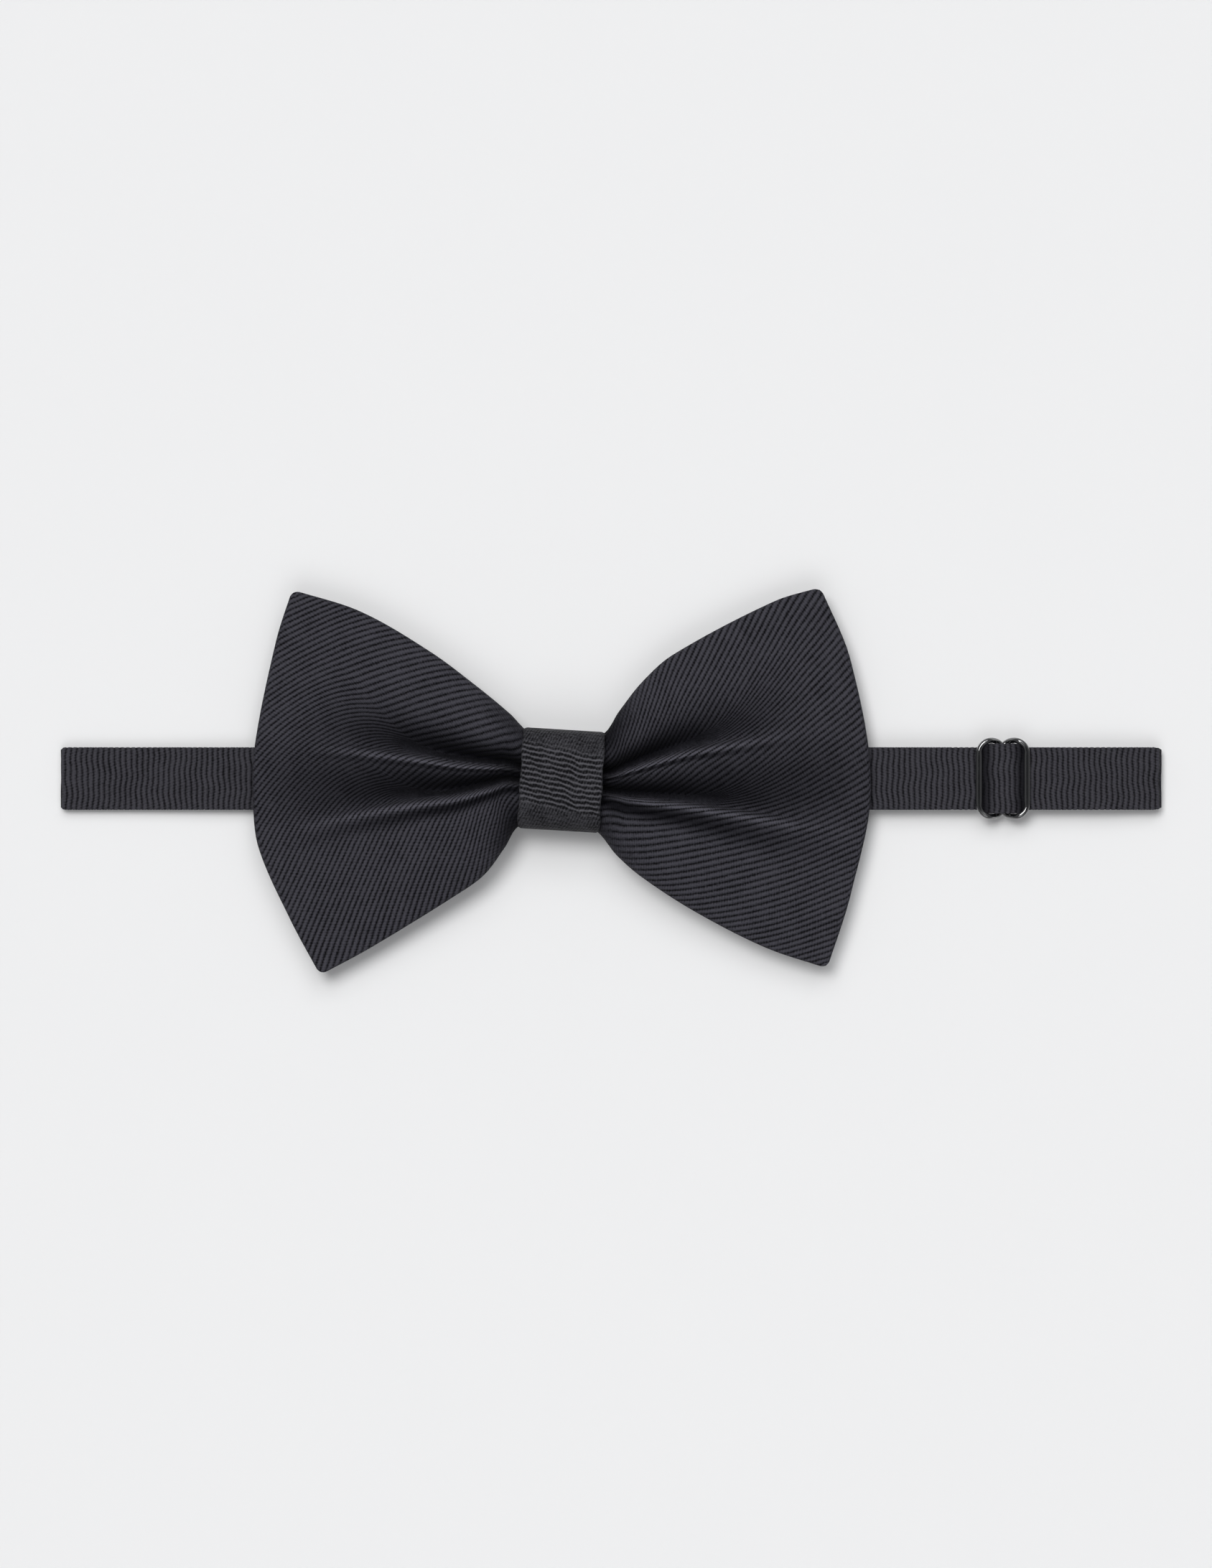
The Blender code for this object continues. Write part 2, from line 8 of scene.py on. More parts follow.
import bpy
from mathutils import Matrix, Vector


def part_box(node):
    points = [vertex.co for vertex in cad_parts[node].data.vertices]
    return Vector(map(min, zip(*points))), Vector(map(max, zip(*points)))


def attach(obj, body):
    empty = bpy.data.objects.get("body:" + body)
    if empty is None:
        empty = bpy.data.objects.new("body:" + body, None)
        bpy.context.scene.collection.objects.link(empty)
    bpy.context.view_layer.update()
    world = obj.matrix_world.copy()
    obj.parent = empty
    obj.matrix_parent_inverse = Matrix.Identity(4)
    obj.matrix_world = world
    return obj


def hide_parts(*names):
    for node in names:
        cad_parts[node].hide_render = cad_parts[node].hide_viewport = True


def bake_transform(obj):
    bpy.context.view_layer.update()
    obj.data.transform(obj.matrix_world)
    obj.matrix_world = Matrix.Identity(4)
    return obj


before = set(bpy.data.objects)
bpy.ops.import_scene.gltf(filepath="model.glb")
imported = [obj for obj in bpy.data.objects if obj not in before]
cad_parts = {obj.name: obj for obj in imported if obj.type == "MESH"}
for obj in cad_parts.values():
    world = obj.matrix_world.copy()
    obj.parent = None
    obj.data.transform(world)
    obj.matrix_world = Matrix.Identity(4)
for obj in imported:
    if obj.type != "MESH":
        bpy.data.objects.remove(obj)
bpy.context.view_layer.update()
print("solids in the model:", len(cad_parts))

# %% Tools and units
import math

import bmesh
import bpy
import numpy as np
from mathutils import Vector

MM = 0.001

# %% [markdown]
# ## Measuring from the model
# Sizes come from the solids wherever they can. A solid's lowest and highest corner give a ribbon's
# width, the height of a fold or the place of a bar, so a change in the model is followed here.


# %% Corners of a solid, in millimetres
def corners(node):
    low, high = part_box(node)
    return np.array(low) / MM, np.array(high) / MM


left_fold = corners("band_left_fold")
right_fold = corners("band_right_fold")
inner_fold = corners("band_right_fold_inner")
front_run = corners("band_front")
back_run = corners("band_left_back")

BAND_WIDTH = back_run[1][1] - back_run[0][1]
BAND_Y = (back_run[1][1] + back_run[0][1]) / 2
RIBBON = back_run[1][2] - back_run[0][2]
print(f"ribbon {BAND_WIDTH:.1f} mm wide and {RIBBON:.2f} mm thick, its middle at y {BAND_Y:.2f} mm")

# %% [markdown]
# ## The table, the light and the camera
# The tie lies on a plain pale table and is seen from straight above. A long lens keeps its outline
# true. Black cloth shows its folds only by how its surface turns to the light, so the light is wide
# and soft and stands up and to the left, with an even pale sky to fill the shadows.

# %% The table
TABLE_HALF = 2.0


def make_table(material):
    mesh = bpy.data.meshes.new("table")
    h = TABLE_HALF
    mesh.from_pydata([(-h, -h, 0), (h, -h, 0), (h, h, 0), (-h, h, 0)], [], [(0, 1, 2, 3)])
    mesh.materials.append(material)
    table = bpy.data.objects.new("table", mesh)
    table.location.z = -0.00006
    bpy.context.scene.collection.objects.link(table)


# %% The camera, straight down
VIEW_CENTRE = (-0.98 * MM, -0.56 * MM)
VIEW_TALL = 0.3051
CAMERA_HEIGHT = 1.5
SENSOR = 36.0

camera_data = bpy.data.cameras.new("camera")
camera_data.sensor_width = SENSOR
camera_data.lens = SENSOR * CAMERA_HEIGHT / VIEW_TALL
camera = bpy.data.objects.new("camera", camera_data)
camera.location = (*VIEW_CENTRE, CAMERA_HEIGHT)
bpy.context.scene.collection.objects.link(camera)
bpy.context.scene.camera = camera
print(f"a {camera_data.lens:.0f} mm lens, {CAMERA_HEIGHT} m above the table")

# %% [markdown]
# Lights and finishes here are networks of nodes, and each network is a few lines of arithmetic.
# Two helpers make a node and join it to the ones before it, so that a network reads like a formula.


# %% Helpers for node networks
def add_node(tree, kind, settings=None, **sockets):
    """A node of a kind. Each named socket takes a value or the output of another node."""
    made = tree.nodes.new(kind)
    for name, value in (settings or {}).items():
        setattr(made, name, value)
    for name, value in sockets.items():
        socket = made.inputs[name.replace("_", " ")]
        if isinstance(value, bpy.types.NodeSocket):
            tree.links.new(value, socket)
        else:
            socket.default_value = value
    return made


def sum_node(tree, operation, *values):
    """One step of arithmetic on values or outputs."""
    made = tree.nodes.new("ShaderNodeMath")
    made.operation = operation
    for socket, value in zip(made.inputs, values):
        if isinstance(value, bpy.types.NodeSocket):
            tree.links.new(value, socket)
        else:
            socket.default_value = value
    return made.outputs[0]


# %% [markdown]
# One broad, distant light gives every part of the table the same brightness. Its width makes the
# edges of the shadows soft.


# %% The lights
def soft_sun(name, spot, spread, strength):
    """A light from far away, so that it is even all over the table. spread is its width in degrees."""
    data = bpy.data.lights.new(name, "SUN")
    data.angle = math.radians(spread)
    data.energy = strength
    sun = bpy.data.objects.new(name, data)
    sun.location = spot
    sun.rotation_euler = Vector(spot).to_track_quat("Z", "Y").to_euler()
    bpy.context.scene.collection.objects.link(sun)


soft_sun("window", (-0.27, 0.32, 1.0), 26, 1.305)


# %% [markdown]
# The sky holds two wide panels, one towards the top of the tie and a weaker one towards its foot,
# and is dim elsewhere, most of all straight overhead. Shiny wire then shows bright ends and dark
# sides, and the folds stay deep.


# %% A sky with two panels
def band_share(tree, value, rise, fall):
    """1 where a value lies between rise and fall, with soft ends."""
    up = add_node(tree, "ShaderNodeMapRange", {"interpolation_type": "SMOOTHSTEP"}, Value=value,
                  From_Min=rise[0], From_Max=rise[1])
    down = add_node(tree, "ShaderNodeMapRange", {"interpolation_type": "SMOOTHSTEP"}, Value=value,
                    From_Min=fall[0], From_Max=fall[1], To_Min=1.0, To_Max=0.0)
    return sum_node(tree, "MULTIPLY", up.outputs["Result"], down.outputs["Result"])


def panel_sky(even, top, foot):
    sky = bpy.data.worlds.new("studio")
    sky.use_nodes = True
    tree = sky.node_tree
    direction = add_node(tree, "ShaderNodeTexCoord").outputs["Generated"]
    parts = add_node(tree, "ShaderNodeSeparateXYZ", Vector=direction)
    above = band_share(tree, parts.outputs["Y"], (0.16, 0.26), (0.70, 0.82))
    below = band_share(tree, parts.outputs["Y"], (-0.82, -0.70), (-0.26, -0.16))
    narrow = band_share(tree, parts.outputs["X"], (-0.46, -0.30), (0.30, 0.46))
    panels = sum_node(tree, "MULTIPLY_ADD", above, top, sum_node(tree, "MULTIPLY", below, foot))
    overhead = band_share(tree, parts.outputs["Z"], (0.80, 0.95), (2.0, 3.0))
    rest = sum_node(tree, "MULTIPLY_ADD", overhead, -0.75 * even, even)
    strength = sum_node(tree, "MULTIPLY_ADD", panels, narrow, rest)
    back = tree.nodes["Background"]
    back.inputs["Color"].default_value = (0.975, 0.98, 1.0, 1.0)
    tree.links.new(strength, back.inputs["Strength"])
    bpy.context.scene.world = sky


panel_sky(even=0.22, top=2.5, foot=1.3)
bpy.context.scene.view_settings.view_transform = "Standard"

# %% [markdown]
# ## Finishes
# A finish is a small network of nodes, built with the helpers above. One more helper starts a
# material from the surface values that are the same all over it.


# %% Start a material
def new_finish(name, roughness, **surface):
    """A material and its shader, with the values that are the same all over."""
    material = bpy.data.materials.new(name)
    material.use_nodes = True
    shader = material.node_tree.nodes["Principled BSDF"]
    shader.inputs["Roughness"].default_value = roughness
    for socket, value in surface.items():
        shader.inputs[socket.replace("_", " ")].default_value = value
    return material, material.node_tree, shader


def blend_colours(tree, share, first, second):
    """A colour between two, by a share from 0 to 1."""
    mix = tree.nodes.new("ShaderNodeMix")
    mix.data_type = "RGBA"
    tree.links.new(share, mix.inputs[0])
    mix.inputs[6].default_value = (*first, 1.0)
    mix.inputs[7].default_value = (*second, 1.0)
    return mix.outputs[2]


# %% [markdown]
# ### Ribbed cloth
# Both the bow's cloth and the band's ribbon have ribs: a thick cord lies in the weave, and fine
# threads wrap over it. Each mesh carries its own map of the cloth, called fabric. Its first number
# counts ribs, its second is the distance along a rib in millimetres, and its third says how clearly
# the ribs stand up there. Because the map follows the cloth, ribs bend and bunch with every fold.
# A second map holds painted shade and painted highlight: it darkens the cloth and dulls its shine deep in the
# tucks, beside the knot, along the middle ridge and at the ends of the bulge in the slider, and lightens it
# on the wall past each tuck.


# %% Cloth with ribs
THREAD_TURN = 2 * math.pi / 0.56  # one fine thread wraps over a rib every 0.56 mm
THREAD_LEAN = 4.0  # how far a thread slants from one rib to the next
THREAD_SHOW = 0.12
WORN, FUZZ = 0.45, 1.1  # uneven tone over centimetres and over single threads
OPEN_SHARE, PAINTED_SHADE_LOSS = 0.66, 0.64  # the crest's share on open cloth, and what the painted fold shade takes from it
GLEAM = 0.05  # cloth hardly shines; the painted fold shade takes its shine away in the folds, and the painted highlight on the walls adds to it


def ribbed_cloth(name, groove, crest, sharpness, flat_tone, rib_height):
    material, tree, shader = new_finish(name, 0.62, Sheen_Weight=0.03, Sheen_Roughness=0.45)
    cloth_map = add_node(tree, "ShaderNodeAttribute", {"attribute_name": "fabric"})
    parts = add_node(tree, "ShaderNodeSeparateXYZ", Vector=cloth_map.outputs["Vector"])
    turn = sum_node(tree, "MULTIPLY", parts.outputs["X"], math.pi)
    arch = sum_node(tree, "ABSOLUTE", sum_node(tree, "COSINE", turn))
    rib = sum_node(tree, "POWER", arch, sharpness)
    clear_rib = sum_node(tree, "MULTIPLY", rib, parts.outputs["Z"])
    unclear = sum_node(tree, "SUBTRACT", 1.0, parts.outputs["Z"])
    level = sum_node(tree, "MULTIPLY_ADD", unclear, flat_tone, clear_rib)

    place = add_node(tree, "ShaderNodeTexCoord").outputs["Object"]
    worn = add_node(tree, "ShaderNodeTexNoise", Vector=place, Scale=260.0, Detail=3.0)
    fuzz = add_node(tree, "ShaderNodeTexNoise", Vector=place, Scale=2600.0, Detail=2.0)
    thread_turn = sum_node(tree, "MULTIPLY", parts.outputs["Y"], THREAD_TURN)
    slant = sum_node(tree, "MULTIPLY_ADD", parts.outputs["X"], THREAD_LEAN, thread_turn)
    strand = sum_node(tree, "MULTIPLY_ADD", sum_node(tree, "SINE", slant), THREAD_SHOW, level)
    shade = strand
    for noise, amount in ((worn, WORN), (fuzz, FUZZ)):
        below = sum_node(tree, "SUBTRACT", shade, amount / 2)
        shade = sum_node(tree, "MULTIPLY_ADD", noise.outputs["Fac"], amount, below)
    share = add_node(tree, "ShaderNodeClamp", Value=shade).outputs[0]
    # Painted shade and painted highlight from the map kept with the mesh: the crest's share drops deep in the
    # folds and rises on the wall past each tuck.
    painted_shading = add_node(tree, "ShaderNodeAttribute", {"attribute_name": "painted_shading"}).outputs["Fac"]
    painted_light_share = sum_node(tree, "MULTIPLY_ADD", painted_shading, -PAINTED_SHADE_LOSS, OPEN_SHARE)
    share = sum_node(tree, "MULTIPLY", share, painted_light_share)
    tree.links.new(blend_colours(tree, share, groove, crest), shader.inputs["Base Color"])
    # The same map dims the shine in the painted shade and raises it on the painted highlight.
    painted_gleam = sum_node(tree, "MULTIPLY_ADD", painted_shading, -GLEAM, GLEAM)
    tree.links.new(painted_gleam, shader.inputs["Specular IOR Level"])

    lift = sum_node(tree, "MULTIPLY_ADD", fuzz.outputs["Fac"], 0.25, strand)
    bump = add_node(tree, "ShaderNodeBump", Strength=0.8, Distance=rib_height * MM, Height=lift)
    tree.links.new(bump.outputs["Normal"], shader.inputs["Normal"])
    return material


bow_cloth = ribbed_cloth("bow_cloth", (0.0022, 0.0022, 0.0030), (0.077, 0.075, 0.091), 1.1, 0.52, 0.16)
band_cloth = ribbed_cloth("band_ribbon", (0.0035, 0.0035, 0.0045), (0.070, 0.068, 0.080), 0.9, 0.55, 0.14)
# The knot is the bow's cloth painted with lighter rib crests, as painted highlight, and a darker flat tone,
# as painted shade on its turns.
knot_cloth_painted_light = ribbed_cloth("knot_cloth_painted_light", (0.0045, 0.0045, 0.0055), (0.132, 0.130, 0.145), 3.0, 0.25, 0.24)
print("cloths:", bow_cloth.name, band_cloth.name, knot_cloth_painted_light.name)

# %% [markdown]
# ### Enamelled wire
# The slider, the hook and the eye are steel wire dipped in black enamel. Wet enamel pulls itself
# smooth, so what shows is a sharp highlight, broken only a little where the coat runs thin.


# %% Enamel
def enamel(name, roughness):
    material, tree, shader = new_finish(name, roughness, Coat_Weight=1.0, Coat_Roughness=0.05, Coat_IOR=1.9)
    shader.inputs["Specular IOR Level"].default_value = 0.8
    place = add_node(tree, "ShaderNodeTexCoord").outputs["Object"]
    runs = add_node(tree, "ShaderNodeTexNoise", Vector=place, Scale=700.0, Detail=2.0)
    colour = blend_colours(tree, runs.outputs["Fac"], (0.004, 0.004, 0.005), (0.009, 0.010, 0.011))
    tree.links.new(colour, shader.inputs["Base Color"])
    rough = add_node(
        tree, "ShaderNodeMapRange", Value=runs.outputs["Fac"], To_Min=roughness * 0.6, To_Max=roughness * 1.6
    )
    tree.links.new(rough.outputs["Result"], shader.inputs["Roughness"])
    bump = add_node(tree, "ShaderNodeBump", Strength=0.25, Distance=0.02 * MM, Height=runs.outputs["Fac"])
    tree.links.new(bump.outputs["Normal"], shader.inputs["Normal"])
    return material


slider_enamel = enamel("slider_enamel", 0.09)
clasp_enamel = enamel("clasp_enamel", 0.16)

# %% [markdown]
# ### Interlining, thread and table
# Interlining is a loose plain weave, so its threads cross as two sets of waves. Sewing thread is two
# plies twisted together, which a slanted wave gives. The table is nearly white and hardly marked.


# %% Interlining
def plain_weave(name, light, dark, threads_per_metre):
    material, tree, shader = new_finish(name, 0.95, Sheen_Weight=0.2)
    place = add_node(tree, "ShaderNodeTexCoord").outputs["Object"]
    parts = add_node(tree, "ShaderNodeSeparateXYZ", Vector=place)
    rate = threads_per_metre * math.pi
    over = [
        sum_node(tree, "SINE", sum_node(tree, "MULTIPLY", parts.outputs[axis], rate)) for axis in ("X", "Y")
    ]
    crossing = sum_node(tree, "MULTIPLY_ADD", sum_node(tree, "MULTIPLY", *over), 0.5, 0.5)
    slub = add_node(tree, "ShaderNodeTexNoise", Vector=place, Scale=900.0, Detail=3.0)
    share = sum_node(tree, "MULTIPLY", crossing, slub.outputs["Fac"])
    tree.links.new(blend_colours(tree, share, dark, light), shader.inputs["Base Color"])
    bump = add_node(tree, "ShaderNodeBump", Strength=0.6, Distance=0.08 * MM, Height=crossing)
    tree.links.new(bump.outputs["Normal"], shader.inputs["Normal"])
    return material


interlining = plain_weave("interlining", (0.70, 0.68, 0.64), (0.38, 0.37, 0.34), 1500.0)


# %% Sewing thread
def twisted_thread(name):
    material, tree, shader = new_finish(name, 0.6, Sheen_Weight=0.15)
    place = add_node(tree, "ShaderNodeTexCoord").outputs["Object"]
    twist = add_node(
        tree, "ShaderNodeTexWave", {"bands_direction": "DIAGONAL"}, Vector=place, Scale=900.0, Distortion=1.5
    )
    colour = blend_colours(tree, twist.outputs["Fac"], (0.007, 0.007, 0.008), (0.034, 0.033, 0.036))
    tree.links.new(colour, shader.inputs["Base Color"])
    bump = add_node(tree, "ShaderNodeBump", Strength=0.5, Distance=0.05 * MM, Height=twist.outputs["Fac"])
    tree.links.new(bump.outputs["Normal"], shader.inputs["Normal"])
    return material


thread = twisted_thread("thread")


# %% Table top
def table_top(name, colour):
    material, tree, shader = new_finish(name, 0.85)
    place = add_node(tree, "ShaderNodeTexCoord").outputs["Object"]
    mark = add_node(tree, "ShaderNodeTexNoise", Vector=place, Scale=35.0, Detail=4.0)
    tint = blend_colours(tree, mark.outputs["Fac"], [c * 0.995 for c in colour], [c * 1.005 for c in colour])
    tree.links.new(tint, shader.inputs["Base Color"])
    return material


make_table(table_top("table_top", (0.815, 0.815, 0.812)))

# %% [markdown]
# ## Building cloth in mesh code
# A piece of cloth here is a closed solid: a fine outer face that carries the ribs, a coarser inner
# face, and a rim that joins them. Every piece is made from a grid of points, so one function turns
# points and faces into an object and stores the map of the cloth with it.


# %% Points and faces into a piece
def make_piece(name, points, faces, material, fabric=None, painted_shading=None, sharp=70):
    mesh = bpy.data.meshes.new(name)
    mesh.from_pydata((np.asarray(points) * MM).tolist(), [], faces)
    tidy = bmesh.new()
    tidy.from_mesh(mesh)
    bmesh.ops.recalc_face_normals(tidy, faces=tidy.faces)
    tidy.to_mesh(mesh)
    tidy.free()
    mesh.shade_smooth()
    mesh.set_sharp_from_angle(angle=math.radians(sharp))
    if fabric is not None:
        layer = mesh.attributes.new("fabric", "FLOAT_VECTOR", "POINT")
        layer.data.foreach_set("vector", np.asarray(fabric, np.float32).ravel())
    # The second map is painted shade and painted highlight for the cloth's finish.
    if painted_shading is not None:
        mesh.attributes.new("painted_shading", "FLOAT", "POINT").data.foreach_set("value", painted_shading.astype(np.float32))
    mesh.materials.append(material)
    piece = bpy.data.objects.new(name, mesh)
    bpy.context.scene.collection.objects.link(piece)
    print(f"{name}: {len(points)} points, {len(faces)} faces")
    return piece


# %% The faces of a sheet with a rim
def sheet_faces(rows, columns, skip):
    """Faces between a fine grid and one that keeps every skip-th point, with the rim between them."""
    fine = np.arange(rows * columns).reshape(rows, columns)
    coarse_shape = ((rows - 1) // skip + 1, (columns - 1) // skip + 1)
    coarse = rows * columns + np.arange(coarse_shape[0] * coarse_shape[1]).reshape(coarse_shape)
    faces = []
    for grid in (fine, coarse):
        ring = [grid[:-1, :-1], grid[1:, :-1], grid[1:, 1:], grid[:-1, 1:]]
        faces += np.stack(ring, -1).reshape(-1, 4).tolist()
    fine_sides, coarse_sides = ((grid[0], grid[-1], grid[:, 0], grid[:, -1]) for grid in (fine, coarse))
    for outer, inner in zip(fine_sides, coarse_sides):
        for k in range(len(inner) - 1):
            faces.append([*outer[k * skip : (k + 1) * skip + 1].tolist(), int(inner[k + 1]), int(inner[k])])
    return faces


def smooth(low, high, value):
    """From 0 at low to 1 at high, without a corner at either end."""
    share = np.clip((value - low) / (high - low), 0.0, 1.0)
    return share * share * (3 - 2 * share)


# %% [markdown]
# ## The bow
# A bow like this is a flat double panel, pinched in its middle so that the cloth folds into a top
# lobe, a narrow middle ridge and a bottom lobe. Two tucks run out from the pinch between them and
# fade before the outer edge. Each wing is laid out between its three edges: a top curve, a bottom
# curve and an outer end, each drawn through a few points.

# %% The outline of each wing, in millimetres
KNOT_X, KNOT_Y = -9.6, 0.2
PINCH = 7.6  # half of the bow's height inside the knot
LEFT_TOP_CORNER, LEFT_LOW_CORNER = (-61.8, 37.1), (-56.4, -37.6)
RIGHT_TOP_CORNER, RIGHT_LOW_CORNER = (40.6, 37.6), (41.9, -36.3)
START_TOP, START_LOW = (KNOT_X, PINCH), (KNOT_X, -PINCH)
WINGS = {
    "left": {
        "top": [
            START_TOP, (-16.0, 9.6), (-19.5, 13.0), (-25.9, 18.3), (-35.2, 25.2), (-48.6, 32.9),
            LEFT_TOP_CORNER,
        ],
        "low": [
            START_LOW, (-17.7, -8.6), (-20.6, -12.9), (-24.6, -18.2), (-30.0, -22.1), (-46.6, -32.3),
            LEFT_LOW_CORNER,
        ],
        "end": [
            LEFT_LOW_CORNER, (-62.1, -27.0), (-68.3, -13.0), (-69.4, -4.0), (-69.1, 6.6), (-64.9, 27.3),
            LEFT_TOP_CORNER,
        ],
    },
    "right": {
        "top": [
            START_TOP, (-1.7, 9.0), (1.6, 13.6), (6.0, 19.2), (12.0, 24.5), (31.5, 34.8),
            RIGHT_TOP_CORNER,
        ],
        "low": [
            START_LOW, (-3.2, -9.4), (1.2, -14.5), (6.2, -18.8), (16.6, -25.5), (30.0, -32.3),
            RIGHT_LOW_CORNER,
        ],
        "end": [RIGHT_LOW_CORNER, (46.5, -21.8), (50.4, -1.1), (46.5, 23.2), RIGHT_TOP_CORNER],
    },
}

# %% [markdown]
# The edges are smooth curves through their points, and the inside is filled in between them: each
# point of the cloth takes its place from the two long edges and from the knot and the outer end.


# %% Curves, and a wing in plan
def curve_through(points, share):
    """Spots on a smooth curve through these points, at shares of the way along it."""
    spots = np.array(points, float)
    steps = np.linalg.norm(np.diff(spots, axis=0), axis=1)
    marks = np.concatenate([[0.0], np.cumsum(steps)])
    goal = np.clip(share, 0, 1) * marks[-1]
    i = np.clip(np.searchsorted(marks, goal) - 1, 0, len(steps) - 1)
    t = ((goal - marks[i]) / steps[i])[..., None]
    held = np.vstack([2 * spots[0] - spots[1], spots, 2 * spots[-1] - spots[-2]])
    before, start, end, after = held[i], held[i + 1], held[i + 2], held[i + 3]
    step = steps[i][..., None]
    lean_in = (end - before) * step / (np.linalg.norm(start - before, axis=-1, keepdims=True) + step)
    lean_out = (after - start) * step / (np.linalg.norm(after - end, axis=-1, keepdims=True) + step)
    found = start * (2 * t**3 - 3 * t**2 + 1) + lean_in * (t**3 - 2 * t**2 + t)
    return found + end * (3 * t**2 - 2 * t**3) + lean_out * (t**3 - t**2)


def wing_plan(side, u, v):
    """Where the cloth lies in plan. u is 0 at the knot and 1 at the outer end, v -1 low and 1 on top."""
    wing = WINGS[side]
    h = ((v + 1) / 2)[..., None]
    across = u[..., None]
    low, top = curve_through(wing["low"], u), curve_through(wing["top"], u)
    end = curve_through(wing["end"], h[..., 0])
    start = np.stack([np.full_like(v, KNOT_X), PINCH * v], -1)
    flat = (1 - h) * ((1 - across) * np.array(START_LOW) + across * np.array(wing["low"][-1]))
    flat += h * ((1 - across) * np.array(START_TOP) + across * np.array(wing["top"][-1]))
    return (1 - h) * low + h * top + (1 - across) * start + across * end - flat


def half_height(side, u):
    """Half of the wing's height in plan at u."""
    low, top = curve_through(WINGS[side]["low"], u), curve_through(WINGS[side]["top"], u)
    return np.linalg.norm(top - low, axis=-1) / 2


for side in WINGS:
    heights = 2 * half_height(side, np.array([0.0, 0.5, 1.0]))
    print(side, "wing is", heights.round(1), "mm high from knot to end")

# %% [markdown]
# ### How the cloth stands up
# The front panel is puffed out like a shallow pillow, and each tuck draws it down. A tuck isn't a
# plain groove: the lobe above it rolls over in a long flank, the cloth then turns up in a steep
# wall, and past the wall there is one more small dip before the next lobe starts.

# %% Heights of the bow, in millimetres
PANEL = 0.45  # thickness of the cloth
SEAM_GAP = 0.15  # from the seam's middle to either panel
MID_KNOT, MID_END = 7.0, 5.4
FRONT_CROWN, BACK_CROWN = 4.0, 2.5
EDGE_ROLL = 0.7  # how far in from the rim the cloth rolls down to its seam
WING_LONG = 58.0  # from the knot's middle to a wing's outer corners
TUCK_DEPTH = 4.9
TUCKS = {
    "left": [
        {"near": 0.18, "far": 0.25, "dip": 0.9, "dip_wide": 0.30, "out": 0.93},
        {"near": -0.07, "far": -0.21, "dip": 1.1, "dip_wide": 1.10, "out": 0.97},
    ],
    "right": [
        {"near": 0.20, "far": 0.33, "dip": 0.9, "dip_wide": 0.30, "out": 0.86},
        {"near": -0.13, "far": -0.25, "dip": 1.4, "dip_wide": 1.90, "out": 1.00},
    ],
}

# %% [markdown]
# The pillow's height, the roll at its rim and the pull of a tuck are small formulas of u and v.


# %% The pillow and its tucks
def swell(u, v):
    """From 1 by the knot to 0 at every edge."""
    out = np.clip((u - 0.1) / 0.9, 0, 1)
    return (np.clip(1 - out**2, 0, 1) * np.clip(1 - np.abs(v) ** 3, 0, 1)) ** 0.7


def rim(side, u, v):
    """From 0 over most of the wing to 1 at its edge."""
    by_side = 1 - (1 - np.abs(v)) * half_height(side, u) / EDGE_ROLL
    by_end = 1 - (1 - u) * WING_LONG / EDGE_ROLL
    near = np.clip(np.maximum(by_side, by_end), 0, 1)
    return 1 - np.sqrt(1 - near**2)


def tuck_fade(u, out):
    """A tuck's depth along its length, from 1 by the knot to 0 at out."""
    return 1 - smooth(0.30, out, u)


def below_tuck(side, u, v, near, far):
    """Distance below a tuck's deepest line, in millimetres."""
    return (near + (far - near) * u - v) * half_height(side, u)


def wall_width(u):
    """The width of the steep wall, which spreads out from the knot."""
    return 0.35 + 1.2 * u


def second_dip(u, below, dip_wide):
    """From 1 in the middle of the second dip, past the wall, to 0 outside it."""
    wall = wall_width(u)
    wide = wall * (0.3 + dip_wide)
    return np.exp(-(((below - 1.9 * wall - wide) / wide) ** 2))


def tuck(side, u, v, near, far, dip, dip_wide, out):
    """How far one tuck draws the cloth down."""
    below = below_tuck(side, u, v, near, far)
    fall = np.exp(-((np.abs(below) / np.where(below < 0, 0.8 + 6.5 * u, wall_width(u))) ** 1.4))
    second = dip / TUCK_DEPTH * second_dip(u, below, dip_wide)
    return TUCK_DEPTH * (fall + second) * tuck_fade(u, out) * (1 - v**6)


# %% [markdown]
# Light hardly reaches the bottom of a tuck, and the wall past it faces the light. This shade and light are
# painted into the cloth's finish: darker and duller in the tucks, beside the knot and along the middle ridge,
# lighter and shinier on the wall past each tuck.


